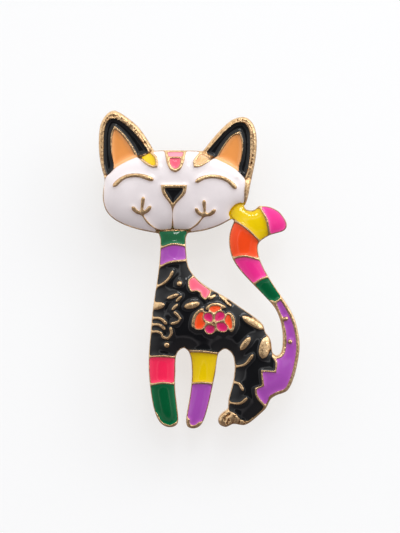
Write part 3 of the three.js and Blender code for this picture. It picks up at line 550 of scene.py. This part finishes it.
depth = np.maximum(-shore_distance, 0)
sink = np.zeros(len(spots))
sink[in_cell] = np.array([sunk for _, _, sunk in FILLS.values()])[point_cell[in_cell]]
enamel_height = surface - sink * (1 - np.exp(-depth / MENISCUS))

beside = np.maximum(shore_distance, 0)
metal_height = surface + PROUD * quarter_round(beside / METAL_ROUND)
metal_height -= RIM_DROP * (1 - quarter_round(edge_distance / RIM_ROUND))
across = beside + edge_distance
in_rim = (group_distance.argmin(0) == EAR) & (across > EAR_RIM_LEAST) & (across < EAR_RIM_MOST) & ~in_cell
over_rim = edge_distance / np.maximum(across, TINY)
rim_at, rim_height = np.array(EAR_RIM).T
metal_height = np.where(in_rim, np.interp(over_rim, rim_at, rim_height), metal_height)
bumps = np.array([noise.noise((u * BUMPS_PER_MM, v * BUMPS_PER_MM, 0)) for u, v in spots])
bumps = BUMP_RISE * bumps * np.clip(beside / BUMP_FADE, 0, 1) * np.clip(edge_distance / BUMP_FADE, 0, 1)
metal_height += bumps
wide = ~in_rim & ~in_cell
dome = 1 - np.exp(-np.maximum(beside - DOME_START, 0) / DOME_REACH)
metal_height += wide * LEAF_DOME * dome * quarter_round(edge_distance / DOME_FADE)
for u, v, radius in BEADS:
    away = np.hypot(spots[:, 0] - u, spots[:, 1] - v) / radius
    metal_height += np.where(in_cell, 0, BEAD_RISE * np.sqrt(np.maximum(1 - away**2, 0)))
for start, end, width, cut in GROOVES:
    a, b = np.array(start), np.array(end)
    s = np.clip(((spots - a) @ (b - a)) / ((b - a) @ (b - a)), 0, 1)
    away = np.linalg.norm(spots - a - s[:, None] * (b - a), axis=1)
    metal_height -= wide * cut * np.exp(-((away / width) ** 2)) * np.clip(edge_distance / GROOVE_FADE, 0, 1)

edges = np.unique(np.sort(np.vstack([tiles[:, [0, 1]], tiles[:, [1, 2]], tiles[:, [2, 0]]]), axis=1), axis=0)
edges = edges[~in_cell[edges].any(1)]


def neighbour_mean(values):
    """At each point, the mean of its value and of its neighbours' on the gold."""
    total, count = np.zeros(len(spots)), np.zeros(len(spots))
    for a, b in (edges.T, edges.T[::-1]):
        total += np.bincount(a, values[b], len(spots))
        count += np.bincount(a, minlength=len(spots))
    return (values + total) / (1 + count)


# Painted shade: the gold darkens where it lies below the mean of its neighbours, beside the walls and in the
# groove of an ear's rim.
around = metal_height
for _ in range(SHADE_REACH):
    around = neighbour_mean(around)
shade = np.clip((around - metal_height) / SHADE_DEPTH, 0, MOST_SHADE)
shade = np.maximum(shade, WALL_SHADE * np.exp(-beside / WALL_SHADE_WIDTH))
from_groove = (over_rim - RIM_SHADE_AT) / RIM_SHADE_WIDTH
shade = np.maximum(shade, in_rim * RIM_SHADE * np.exp(-(from_groove**2)))

# ---- Solids ----

BEVEL_TURNS = (0, 30, 60, 90)  # degrees round a bevelled edge
LATHE_SIDES = 32
FLOOR_STEP, FLOOR_EDGE = 1.1, 0.5  # between the points of a pocket's floor, and from them to its walls


def in_frame(points, heights):
    """Points of the plane, in the frame."""
    return np.column_stack([points[:, 0], -heights, points[:, 1]]) * MM


def ring_pairs(ring):
    """Each entry of a closed row, with the next."""
    return zip(ring, ring[1:] + ring[:1])


def placed(name, data):
    """A new object in the scene."""
    made = bpy.data.objects.new(name, data)
    bpy.context.scene.collection.objects.link(made)
    return made


class Solid:
    """A mesh under construction, from sheets of points that the faces refer to by number."""

    def __init__(self):
        self.points, self.faces, self.count = [], [], 0

    def sheet(self, points):
        """Adds points and returns the number of the first."""
        self.points.append(points)
        start, self.count = self.count, self.count + len(points)
        return start

    def piece(self, name, body, materials, node, slot, sharp, facets=None):
        """The finished piece. facets gives each face its material, by number."""
        mesh = bpy.data.meshes.new(name)
        mesh.from_pydata(np.vstack(self.points).tolist(), [], [tuple(int(i) for i in f) for f in self.faces])
        for material in materials:
            mesh.materials.append(material)
        if facets is not None:
            mesh.polygons.foreach_set("material_index", facets)
        mesh.shade_smooth()
        mesh.set_sharp_from_angle(angle=math.radians(sharp))
        piece = placed(name, mesh)
        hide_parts(node)
        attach(piece, body)
        return piece

    def prism(self, loops, low, high, bevel, place):
        """Extrudes flat loops, the outer one first, between two levels. place(u, v, w) gives the points."""
        turns = [math.radians(turn) for turn in BEVEL_TURNS]
        rows = [(bevel * (1 - math.sin(turn)), bevel * (1 - math.cos(turn))) for turn in turns]
        levels = [(inset, low + drop) for inset, drop in rows]
        levels += [(inset, high - drop) for inset, drop in rows[::-1]]
        caps = [moved_out(loop, -bevel) for loop in loops]
        _, triangles, from_points, in_loops = triangulated(caps, np.empty((0, 2)))
        inside = [t for t, s in zip(triangles, in_loops) if s == {0}]
        counts = np.cumsum([0] + [len(loop) for loop in loops])
        starts = []
        for inset, level in levels:
            flat = np.vstack([moved_out(loop, -inset) for loop in loops])
            starts.append(self.sheet(place(flat[:, 0], flat[:, 1], np.full(len(flat), level))))
        for lower, upper in zip(starts, starts[1:]):
            for first, last in zip(counts, counts[1:]):
                for a, b in ring_pairs(list(range(first, last))):
                    self.faces.append((lower + a, lower + b, upper + b, upper + a))
        for t in inside:
            a, b, c = (from_points[i][0] for i in t)
            self.faces.append((starts[0] + c, starts[0] + b, starts[0] + a))
            self.faces.append((starts[-1] + a, starts[-1] + b, starts[-1] + c))

    def lathe(self, profile, place, sides=LATHE_SIDES):
        """Turns a profile of (along, radius) about a line, on which an open profile starts and ends."""
        closed = profile[0] == profile[-1]
        ring = profile[:-1] if closed else profile[1:-1]
        angles = np.arange(sides) * math.tau / sides
        starts = [
            self.sheet(place(radius * np.cos(angles), radius * np.sin(angles), np.full(sides, along)))
            for along, radius in ring
        ]
        around = list(ring_pairs(list(range(sides))))
        pairs = list(zip(starts, starts[1:])) + ([(starts[-1], starts[0])] if closed else [])
        for lower, upper in pairs:
            self.faces += [(lower + a, lower + b, upper + b, upper + a) for a, b in around]
        if not closed:
            first, last = (
                self.sheet(place(np.zeros(1), np.zeros(1), np.array([along])))
                for along in (profile[0][0], profile[-1][0])
            )
            self.faces += [(first, starts[0] + b, starts[0] + a) for a, b in around]
            self.faces += [(last, starts[-1] + a, starts[-1] + b) for a, b in around]


def coarse_triangles(triangles):
    """Fewer triangles over the same area, on the same boundary points, as numbers of spots."""
    chains = loops_round(triangles)
    rim_points = np.concatenate(chains)
    inner = np.setdiff1d(np.unique(triangles), rim_points)
    inner = inner[depth[inner] > FLOOR_EDGE]
    kept = spread([(*spots[i], i) for i in inner], [], FLOOR_STEP)
    numbers = np.concatenate([rim_points, np.array([k[2] for k in kept], int)])
    loose = spots[numbers[len(rim_points) :]].reshape(-1, 2)
    _, found, from_points, in_loops = triangulated([spots[chain] for chain in chains], loose)
    turns = [signed_area(spots[chain]) for chain in chains]
    number_of = np.array([numbers[f[0]] if f else -1 for f in from_points])
    kept = [bool(loops_in) and all(turns[k] > 0 for k in loops_in) for loops_in in in_loops]
    return number_of[found[np.array(kept)]]


def renumbered(used):
    """A table from the number of a spot to its place in the used ones."""
    table = np.full(len(spots), -1)
    table[used] = np.arange(len(used))
    return table


floors = [coarse_triangles(tiles[owner == cell]) for cell in range(len(cell_names))]


# ---- Materials ----

NOISE_LOW, NOISE_HIGH = 0.3, 0.7  # where nearly all of a noise texture's values lie


class Nodes:
    """Makes the nodes of one shader tree."""

    def __init__(self, tree):
        self.nodes, self.links = tree.nodes, tree.links

    def set(self, node, values):
        for key, value in values.items():
            node.inputs[key].default_value = value

    def add(self, kind, inputs=None, links=None, **settings):
        node = self.nodes.new("ShaderNode" + kind)
        for key, value in settings.items():
            setattr(node, key, value)
        self.set(node, inputs or {})
        for key, source in (links or {}).items():
            self.links.new(source, node.inputs[key])
        return node


class Paint(Nodes):
    """A procedural material: a Principled shader and the nodes that feed it."""

    def __init__(self, name, **values):
        self.material = bpy.data.materials.new(name)
        self.material.use_nodes = True
        super().__init__(self.material.node_tree)
        self.shader = self.nodes["Principled BSDF"]
        self.set(self.shader, values)
        self.place = self.add("TexCoord").outputs["Object"]

    def noise(self, per_metre, detail=2.0, roughness=0.5):
        values = {"Scale": per_metre, "Detail": detail, "Roughness": roughness}
        return self.add("TexNoise", values, {"Vector": self.place}).outputs["Fac"]

    def mottled(self, noise, low=0.0, high=1.0):
        """The noise, spread out to run from low to high."""
        values = {"From Min": NOISE_LOW, "From Max": NOISE_HIGH, "To Min": low, "To Max": high}
        return self.add("MapRange", values, {"Value": noise}).outputs["Result"]

    def mixed(self, factor, first, second):
        """A colour between two, each a colour or another node's colour."""
        made = self.add("Mix", links={"Factor": factor}, data_type="RGBA")
        for key, colour in ((6, first), (7, second)):
            if isinstance(colour, tuple):
                made.inputs[key].default_value = (*colour, 1)
            else:
                self.links.new(colour, made.inputs[key])
        return made.outputs[2]

    def attribute(self, name):
        return self.add("Attribute", attribute_name=name).outputs["Fac"]

    def feed(self, key, source):
        self.links.new(source, self.shader.inputs[key])

    def bump(self, height, distance, under=None):
        made = self.add("Bump", {"Distance": distance, "Strength": 1.0}, {"Height": height})
        if under is not None:
            self.links.new(under, made.inputs["Normal"])
        return made.outputs["Normal"]


def linear(colour):
    """A colour of the screen, 0 to 255, as the linear colour that shaders use."""
    return tuple((c / 255 / 12.92) if c < 10.3 else ((c / 255 + 0.055) / 1.055) ** 2.4 for c in colour)


# Each enamel's colour, and its colour close to the walls, where it is thin, as on the screen.
COLOURS = {
    "white": ((238, 230, 232), (240, 228, 226)),
    "black": ((14, 15, 18), (12, 12, 14)),
    "ear_orange": ((244, 160, 85), (246, 176, 110)),
    "vermilion": ((252, 78, 28), (255, 100, 50)),
    "yellow": ((240, 205, 0), (222, 180, 0)),
    "peach": ((246, 176, 112), (248, 196, 150)),
    "light_pink": ((250, 140, 160), (250, 160, 175)),
    "coral": ((252, 92, 122), (250, 120, 140)),
    "red": ((252, 40, 88), (255, 70, 110)),
    "magenta": ((246, 50, 148), (250, 90, 170)),
    "crimson": ((214, 28, 104), (228, 60, 120)),
    "green": ((0, 88, 48), (0, 120, 75)),
    "purple": ((166, 76, 178), (190, 100, 195)),
}
PEACH_BAND_COLOUR = (248, 186, 128)
# Roughness and specular level: the usual, and those of the enamels that differ.
GLOSS = (0.07, 0.33)
OTHER_GLOSS = {"white": (0.16, 0.6), "black": (0.05, 0.38)}
ENAMEL_IOR = 1.52
DARKER = 0.93  # how far the colour of an enamel drifts
WAVINESS = 0.00002
# GOLD_SHADE is the colour of the gold's painted shade.
GOLD_LIGHT, GOLD_DARK, GOLD_SHADE = (0.68, 0.48, 0.28), (0.48, 0.31, 0.155), (0.3, 0.15, 0.06)
GOLD_ROUGHNESS = (0.16, 0.3)
GOLD_GRAIN, GOLD_POLISH = 0.00012, 0.000012  # metres
NICKEL_LIGHT, NICKEL_DARK = (0.66, 0.65, 0.62), (0.57, 0.56, 0.53)
NICKEL_ROUGHNESS = (0.16, 0.32)
NICKEL_POLISH = 0.00001


def enamel(name, colour, edge_colour, gloss=GLOSS):
    """Glossy enamel: its colour drifts a little, and changes towards the walls."""
    paint = Paint(name, **{"Roughness": gloss[0], "IOR": ENAMEL_IOR, "Specular IOR Level": gloss[1]})
    colour = linear(colour)
    inner = paint.mixed(paint.mottled(paint.noise(300, 3.0)), colour, tuple(DARKER * c for c in colour))
    paint.feed("Base Color", paint.mixed(paint.attribute("thin"), inner, linear(edge_colour)))
    paint.feed("Normal", paint.bump(paint.noise(420), WAVINESS))
    return paint.material


def gold():
    """Plating over a grainy casting, darkened with painted shade in its hollows, against its walls and in
    the ears' groove.
    """
    paint = Paint("gold_plate", Metallic=1.0)
    bright = paint.mixed(paint.mottled(paint.noise(700, 4.0, 0.6)), GOLD_LIGHT, GOLD_DARK)
    paint.feed("Base Color", paint.mixed(paint.attribute("painted_shade"), bright, GOLD_SHADE))
    paint.feed("Roughness", paint.mottled(paint.noise(2600, 3.0), *GOLD_ROUGHNESS))
    coarse = paint.bump(paint.noise(1600, 3.0, 0.6), GOLD_GRAIN)
    paint.feed("Normal", paint.bump(paint.noise(6000), GOLD_POLISH, under=coarse))
    return paint.material


def nickel():
    paint = Paint("nickel_plate", Metallic=1.0)
    paint.feed("Base Color", paint.mixed(paint.mottled(paint.noise(900, 4.0)), NICKEL_LIGHT, NICKEL_DARK))
    paint.feed("Roughness", paint.mottled(paint.noise(3500, 3.0), *NICKEL_ROUGHNESS))
    paint.feed("Normal", paint.bump(paint.noise(5000), NICKEL_POLISH))
    return paint.material


GOLD, NICKEL = gold(), nickel()
ENAMEL_PAINTS = {
    name: enamel("enamel_" + name, *pair, OTHER_GLOSS.get(name, GLOSS)) for name, pair in COLOURS.items()
}
PEACH_BAND = enamel("ear_peach_band", PEACH_BAND_COLOUR, PEACH_BAND_COLOUR)

# ---- Enamels ----

THIN_REACH = 0.25

for cell, name in enumerate(cell_names):
    mine = owner == cell
    colour = FILLS[name][1]
    triangles = tiles[mine]
    used = np.unique(triangles)
    low_used = np.unique(floors[cell])
    top, bottom = renumbered(used), renumbered(low_used)
    solid = Solid()
    first = solid.sheet(in_frame(spots[used], enamel_height[used]))
    second = solid.sheet(in_frame(spots[low_used], surface[low_used] - FILL_DEPTH))
    solid.faces += list(first + top[triangles])
    facets = [int(b) for b in band[mine]]
    for chain in loops_round(triangles):
        for a, b in ring_pairs(chain):
            solid.faces.append((first + top[a], second + bottom[a], second + bottom[b], first + top[b]))
    solid.faces += list(second + bottom[floors[cell]][:, ::-1])
    facets += [0] * (len(solid.faces) - len(facets))
    paints = [ENAMEL_PAINTS[colour]] + [PEACH_BAND] * bool(band[mine].any())
    piece = solid.piece(name + "_fill", "brooch", paints, name + "_enamel", "enamel_" + colour, 50, facets)
    thin = np.ones(len(piece.data.vertices), np.float32)
    thin[: len(used)] = np.exp(-depth[used] / THIN_REACH)
    piece.data.attributes.new("thin", "FLOAT", "POINT").data.foreach_set("value", thin)

# ---- The casting ----

HOLLOW_DEPTH, HOLLOW_REACH = 1.3, 1.2
FRONT_ROUND, BACK_ROUND = 0.25, 0.12
# The casting's side, below its front edge: how far in, and how high.
SIDE = ((0.0, 0.3), (0.0, 0.1), (0.03, 0.03))
HOLLOW_ROWS = (-0.12, -0.3, 0.12, -0.55)
BACK_ROW_SPARE, BACK_ROW_GAP = 0.2, 0.1
BACK_STEP, BACK_RIM_SPARE, BACK_HOLLOW_SPARE, BACK_GAP = 0.5, 0.3, 0.25, 0.3
# How dark the painted shade is in the dimple of the flower's bead.
DIMPLE_SHADE = 0.9


def casting():
    """The gold casting: its front, the pockets for the enamels, its side and its hollowed back."""
    metal = tiles[owner == METAL]
    pocket = np.vstack(floors)
    used, low_used = np.unique(metal), np.unique(pocket)
    top, floor = renumbered(used), renumbered(low_used)
    solid = Solid()
    first = solid.sheet(in_frame(spots[used], metal_height[used]))
    second = solid.sheet(in_frame(spots[low_used], surface[low_used] - POCKET_DEPTH))
    solid.faces += list(first + top[metal])
    solid.faces += list(second + floor[pocket])
    for chain in loops_round(metal):
        for a, b in ring_pairs(chain):
            if not (on_edge[a] and on_edge[b]):
                solid.faces.append((first + top[a], second + floor[a], second + floor[b], first + top[b]))
    back_chains = []
    for chain in silhouette_chains:
        edge = spots[chain]
        upper = [first + top[i] for i in chain]
        rows = [(0.0, metal_height[chain] - FRONT_ROUND)]
        rows += [(inset, np.full(len(chain), high)) for inset, high in SIDE]
        for inset, heights in rows:
            start = solid.sheet(in_frame(moved_out(edge, -inset), heights))
            lower = [start + k for k in range(len(chain))]
            for (a, b), (c, d) in zip(ring_pairs(upper), ring_pairs(lower)):
                solid.faces.append((a, c, d, b))
            upper = lower
        back_chains.append((moved_out(edge, -BACK_ROUND), upper))
    # the back: a grid and rows beside the edges of the hollows, in one triangulation
    hollow_shore = Shore(hollow_loops)
    behind = Shore([loop for loop, _ in back_chains])
    rows = np.vstack([moved_out(loop, row) for loop in hollow_loops for row in HOLLOW_ROWS])
    loose = spread(rows[behind.distance(rows) < -BACK_ROW_SPARE].tolist(), [], BACK_ROW_GAP)
    grid = hexagonal_grid(rims[0].min(0), rims[0].max(0), BACK_STEP)
    grid = grid[behind.distance(grid) < -BACK_RIM_SPARE]
    grid = grid[np.abs(hollow_shore.distance(grid)) > BACK_HOLLOW_SPARE]
    loose += spread(grid.tolist(), loose, BACK_GAP)
    loops = [loop for loop, _ in back_chains] + hollow_loops
    points, found, from_points, in_loops = triangulated(loops, np.array(loose))
    turns = [signed_area(loop) for loop in loops]
    deep = np.array([any(k >= len(back_chains) for k in s) for s in in_loops])
    kept = np.array([[turns[k] > 0 for k in sorted(s) if k < len(back_chains)] == [True] for s in in_loops])
    found, deep = found[kept], deep[kept]
    distance = hollow_shore.distance(points)
    sunk = np.zeros(len(points), bool)
    sunk[found[deep].ravel()] = True
    height = np.where(sunk, HOLLOW_DEPTH * (1 - np.exp(-np.abs(distance) / HOLLOW_REACH)), 0)
    # the points on the back's edge are there already
    number = np.full(len(points), -1)
    joined = [n for _, numbers in back_chains for n in numbers]
    rest = []
    for k, sources in enumerate(from_points):
        known = [f for f in sources if f < len(joined)]
        if known:
            number[k] = joined[known[0]]
        else:
            rest.append(k)
    start = solid.sheet(in_frame(points[rest], height[rest]))
    number[rest] = start + np.arange(len(rest))
    solid.faces += list(number[found][:, ::-1])
    level = surface[used[np.hypot(*(spots[used] - HEART).T).argmin()]] + PROUD

    def on_level(u, v, w):
        return in_frame(np.column_stack([u, v]) + HEART, w + level)

    solid.lathe(HEART_PROFILE, on_level, HEART_SIDES)
    piece = solid.piece("gold_casting", "brooch", [GOLD], "cast_body", "gold_plate", 55)
    # The gold's painted shade as a point attribute, with painted shade filling the dimple of the flower's
    # bead too.
    painted_shade = np.zeros(len(piece.data.vertices), np.float32)
    painted_shade[: len(used)] = shade[used]
    painted_shade[-2 - HEART_DIMPLE * HEART_SIDES :] = DIMPLE_SHADE
    piece.data.attributes.new("painted_shade", "FLOAT", "POINT").data.foreach_set("value", painted_shade)


casting()

# ---- The pin back, in the frame's own axes, in millimetres ----


def arc(u, v, radius, start, end, steps=16):
    """Points on an arc about (u, v), between two angles in degrees."""
    angles = np.radians(np.linspace(start, end, steps + 1))
    return [(u + radius * math.cos(a), v + radius * math.sin(a)) for a in angles]


def stadium(left, right, half):
    """A strip with round ends."""
    return np.array(arc(right - half, 0, half, -90, 90) + arc(left + half, 0, half, 90, 270))


def hole(u, radius):
    return np.array(arc(u, 0, radius, 360, 0, 32)[:-1])


def eased_box(profile, corner):
    """A lathe profile with a small chamfer at each corner, closed."""
    out = []
    for (before, at), (_, after) in zip(ring_pairs(profile[-1:] + profile[:-1]), ring_pairs(profile)):
        for other in (before, after):
            reach = math.dist(at, other)
            step = min(corner, reach / 2) / reach
            out.append((at[0] + step * (other[0] - at[0]), at[1] + step * (other[1] - at[1])))
    return out + out[:1]


def joint_place(name):
    joint = next(j for j in frame["joints"] if j["name"] == name)
    return [c / MM for c in joint["pos_m"]]


HINGE, LOCK = joint_place("pin_hinge"), joint_place("lock_turn")
BAR_LEFT, BAR_RIGHT, BAR_HALF = -12.2, 12.4, 2.2
BAR_FRONT, BAR_BACK = 0.1, 0.7
BAR_HOLES, BAR_HOLE_RADIUS = (-4.5, 0, 4.5), 0.8
LUG_INNER, LUG_OUTER, LUG_CROWN, LUG_HOLE, LUG_SUNK = 1.0, 1.5, 1.3, 0.55, 0.1
RIVET_RADIUS, RIVET_END = 0.45, 1.6
RIVET_HEAD = ((0, 0.8), (0.12, 0.79), (0.24, 0.6), (0.3, 0.3), (0.3, 0))  # past the end, radius
KNUCKLE_RADIUS, KNUCKLE_HALF = 1.0, 0.9
STEM_RADIUS, STEM_START, STEM_TIP, STEM_SIDES = 0.45, 0.75, 23.4, 20
# The end of the stem, as (length left, radius).
STEM_POINT = ((3.2, 0.45), (2.2, 0.4), (1.2, 0.29), (0.5, 0.16), (0.12, 0.05), (0, 0))
CATCH_OUTER, CATCH_INNER, CATCH_MOUTH, CATCH_HALF = 2.05, 1.55, 0.75, 1.1
CATCH_FOOT_HALF, CATCH_FOOT_END = 1.2, 0.8
BARREL, BORE, SLOT_HALF, BARREL_HALF = 1.45, 0.62, 0.62, 1.2
FLANGE, FLANGE_END, COLLAR, COLLAR_END = 2.05, 1.7, 1.8, 1.55
LEVER_START, LEVER_REACH, LEVER_HALF, LEVER_SUNK, LEVER_TILT = 1.0, 4.2, 0.75, 0.04, math.radians(65)
BAR_BEVEL, LUG_BEVEL, KNUCKLE_BEVEL, CATCH_BEVEL = 0.12, 0.1, 0.08, 0.09
BARREL_BEVEL, FLANGE_BEVEL, COLLAR_BEVEL, LEVER_BEVEL = 0.05, 0.12, 0.08, 0.1


def flat_on_back(u, v, w):
    """u against x, v along z, w from the back plane towards the wearer."""
    return np.column_stack([-u, w, v]) * MM


def about_hinge(u, v, w):
    return np.column_stack([HINGE[0] + u, HINGE[1] + v, HINGE[2] + w]) * MM


def along_stem(u, v, w):
    return np.column_stack([HINGE[0] + w, HINGE[1] + u, HINGE[2] + v]) * MM


def across_lock(u, v, w):
    """u against z, v towards the wearer, w along the lock's axis."""
    return np.column_stack([LOCK[0] + w, LOCK[1] + v, LOCK[2] - u]) * MM


bar = Solid()
holes = [hole(u, BAR_HOLE_RADIUS) for u in BAR_HOLES]
strip = stadium(-BAR_RIGHT, -BAR_LEFT, BAR_HALF)
bar.prism([strip, *holes], BAR_FRONT, BAR_BACK, BAR_BEVEL, flat_on_back)
foot = BAR_BACK - HINGE[1] - LUG_SUNK
lug = np.array([(-LUG_CROWN, foot), (LUG_CROWN, foot), *arc(0, 0, LUG_CROWN, 0, 180)])
for low, high in ((-LUG_OUTER, -LUG_INNER), (LUG_INNER, LUG_OUTER)):
    bar.prism([lug, hole(0, LUG_HOLE)], low, high, LUG_BEVEL, about_hinge)
bar.piece("pin_bar", "brooch", [NICKEL], "back_bar", "steel", 45)

rivet = Solid()
rivet_half = [(0, RIVET_RADIUS), (RIVET_END, RIVET_RADIUS)]
rivet_half += [(RIVET_END + past, radius) for past, radius in RIVET_HEAD]
rivet.lathe([(-along, radius) for along, radius in rivet_half[::-1]] + rivet_half[1:], about_hinge)
rivet.piece("hinge_pin", "brooch", [NICKEL], "hinge_rivet", "steel", 40)

stem = Solid()
knuckle = [
    (-KNUCKLE_HALF, LUG_HOLE), (-KNUCKLE_HALF, KNUCKLE_RADIUS), (KNUCKLE_HALF, KNUCKLE_RADIUS),
    (KNUCKLE_HALF, LUG_HOLE),
]
stem.lathe(eased_box(knuckle, KNUCKLE_BEVEL)[::-1], about_hinge)
wire = [(STEM_START, 0), (STEM_START, STEM_RADIUS)]
wire += [(STEM_TIP - before, radius) for before, radius in STEM_POINT]
stem.lathe(wire, along_stem, STEM_SIDES)
stem.piece("stem_wire", "stem", [NICKEL], "pin_stem", "steel", 40)

mouth = math.degrees(math.asin(CATCH_MOUTH / CATCH_OUTER))
inner_mouth = math.degrees(math.asin(CATCH_MOUTH / CATCH_INNER))
foot_angle = math.degrees(math.asin(CATCH_FOOT_HALF / CATCH_OUTER))
foot_level = CATCH_FOOT_END - LOCK[1]
ring = (
    arc(0, 0, CATCH_OUTER, 90 + mouth, 270 - foot_angle)
    + [(-CATCH_FOOT_HALF, foot_level), (CATCH_FOOT_HALF, foot_level)]
    + arc(0, 0, CATCH_OUTER, -90 + foot_angle, 90 - mouth)
    + arc(0, 0, CATCH_INNER, 90 - inner_mouth, -270 + inner_mouth, 32)
)
catch = Solid()
catch.prism([np.array(ring)], -CATCH_HALF, CATCH_HALF, CATCH_BEVEL, across_lock)
catch.piece("catch_ring", "brooch", [NICKEL], "catch_body", "steel", 45)


def slotted(radius):
    """A disc with the slot that the stem drops through."""
    edge = math.degrees(math.asin(SLOT_HALF / radius))
    return np.array(arc(0, 0, radius, 90 + edge, 450 - edge, 40) + arc(0, 0, BORE, 0, -180))


lock = Solid()
lock.prism([slotted(BARREL)], -BARREL_HALF, BARREL_HALF, BARREL_BEVEL, across_lock)
lock.prism([slotted(FLANGE)], BARREL_HALF, FLANGE_END, FLANGE_BEVEL, across_lock)
lock.prism([slotted(COLLAR)], -COLLAR_END, -BARREL_HALF, COLLAR_BEVEL, across_lock)
lever_end = arc(0, LEVER_REACH - LEVER_HALF, LEVER_HALF, 180, 0)
lever = [(-LEVER_HALF, LEVER_START), *lever_end, (LEVER_HALF, LEVER_START)]
cos, sin = math.cos(LEVER_TILT), math.sin(LEVER_TILT)
lever = np.array([(u * cos + v * sin, v * cos - u * sin) for u, v in lever[::-1]])
lock.prism([lever], BARREL_HALF + LEVER_SUNK, FLANGE_END - LEVER_SUNK, LEVER_BEVEL, across_lock)
lock.piece("lock_barrel", "lock", [NICKEL], "lock_rotor", "steel", 45)

# ---- Backdrop, light and camera ----

BACKDROP_BEHIND = 6.2  # millimetres
BACKDROP_HALF = 0.9  # metres
PAPER = {
    "Base Color": (0.38, 0.4, 0.42, 1), "Roughness": 0.9, "Specular IOR Level": 0.0,
    "Emission Color": (1, 0.98, 0.96, 1), "Emission Strength": 0.6,
}
# The tent's brightness or colour at places from 0 to 1, from its front to its back and from low to high.
OPENING = ((0, 0.12), (0.022, 0.15), (0.03, 1.7), (0.04, 0.5), (0.1, 0.75), (0.3, 1.15), (1, 1.0))
FALL = ((0.0, (0.18, 0.16, 0.16)), (0.36, (0.4, 0.37, 0.38)), (0.52, 0.88), (0.62, 1.1), (1.0, 1.25))
TENT_STRENGTH = 1.23
TENT_SEEN = (0.95, 0.95, 0.95, 1)
# Each soft light: its place, its width and height, all in metres, and its power.
PANELS = {
    "top_softbox": ((0.16, -0.3, 0.42), (0.4, 0.1), 0.5),
    "right_softbox": ((0.42, -0.2, 0.24), (0.12, 0.3), 0.5),
    "strip_light": ((0.03, -0.42, 0.25), (0.12, 0.02), 0.14),
}
AIM = (0.004, 0, -0.014)


def backdrop():
    """Bright paper behind the pin, which can't be seen from behind and casts nothing on the pin."""
    mesh = bpy.data.meshes.new("backdrop")
    side, y = BACKDROP_HALF, BACKDROP_BEHIND * MM
    corners = [(-side, y, -side), (side, y, -side), (side, y, side), (-side, y, side)]
    mesh.from_pydata(corners, [], [(0, 1, 2, 3)])
    sheet = placed("backdrop", mesh)
    paint = Paint("backdrop_paper", **PAPER)
    from_behind = paint.add("NewGeometry").outputs["Backfacing"]
    clear = paint.add("BsdfTransparent").outputs[0]
    either = paint.add("MixShader", links={0: from_behind, 1: paint.shader.outputs[0], 2: clear})
    paint.links.new(either.outputs[0], paint.nodes["Material Output"].inputs["Surface"])
    mesh.materials.append(paint.material)
    sheet.visible_shadow = sheet.visible_diffuse = sheet.visible_glossy = sheet.visible_transmission = False


def sky():
    """A white tent with a dark opening about the camera, brighter above and at the sides than below."""
    world = bpy.data.worlds.new("tent")
    bpy.context.scene.world = world
    world.use_nodes = True
    world.node_tree.nodes.clear()
    tent = Nodes(world.node_tree)
    way = tent.add("SeparateXYZ", links={0: tent.add("TexCoord").outputs["Generated"]}).outputs

    def ramp(source, stops):
        """The stops' colours, along a direction that runs from -1 to 1."""
        along = tent.add("MapRange", {"From Min": -1, "From Max": 1}, {"Value": source})
        made = tent.add("ValToRGB", links={0: along.outputs["Result"]})
        while len(made.color_ramp.elements) < len(stops):
            made.color_ramp.elements.new(0.5)
        for element, (at, value) in zip(made.color_ramp.elements, stops):
            element.position = at
            element.color = (*value, 1) if isinstance(value, tuple) else (value, value, value, 1)
        return made.outputs[0]

    colours = {6: ramp(way["Y"], OPENING), 7: ramp(way["Z"], FALL)}
    product = tent.add("Mix", {0: 1}, colours, data_type="RGBA", blend_type="MULTIPLY")
    lit = tent.add("Background", {"Strength": TENT_STRENGTH}, {"Color": product.outputs[2]})
    seen = tent.add("Background", {"Color": TENT_SEEN})
    from_eye = tent.add("LightPath").outputs["Is Camera Ray"]
    mix = tent.add("MixShader", links={0: from_eye, 1: lit.outputs[0], 2: seen.outputs[0]})
    tent.add("OutputWorld", links={0: mix.outputs[0]})


def panel(name, at, size, strength):
    """A soft rectangular light that faces the pin."""
    light = bpy.data.lights.new(name, "AREA")
    light.shape, light.size, light.size_y = "RECTANGLE", size[0], size[1]
    light.energy = strength
    lamp = placed(name, light)
    lamp.location = at
    lamp.rotation_euler = (Vector(AIM) - Vector(at)).to_track_quat("-Z", "Y").to_euler()


CENTRE = (4.5, -14.34)  # middle of the picture, in millimetres
FRAME_HEIGHT = 99.94  # of what the picture shows at the front level
FRONT_LEVEL = 1.7
LENS, SENSOR = 100.0, 36.0
CLIP_NEAR, CLIP_FAR = 0.01, 20


def camera():
    """A long lens straight in front of the pin."""
    data = bpy.data.cameras.new("camera")
    data.lens, data.sensor_width = LENS, SENSOR
    data.clip_start, data.clip_end = CLIP_NEAR, CLIP_FAR
    eye = placed("camera", data)
    away = LENS / SENSOR * FRAME_HEIGHT + FRONT_LEVEL
    eye.location = (CENTRE[0] * MM, -away * MM, CENTRE[1] * MM)
    eye.rotation_euler = (math.pi / 2, 0, 0)
    bpy.context.scene.camera = eye


backdrop()
sky()
for name, (at, size, strength) in PANELS.items():
    panel(name, at, size, strength)
camera()
bpy.context.scene.view_settings.view_transform = "Standard"
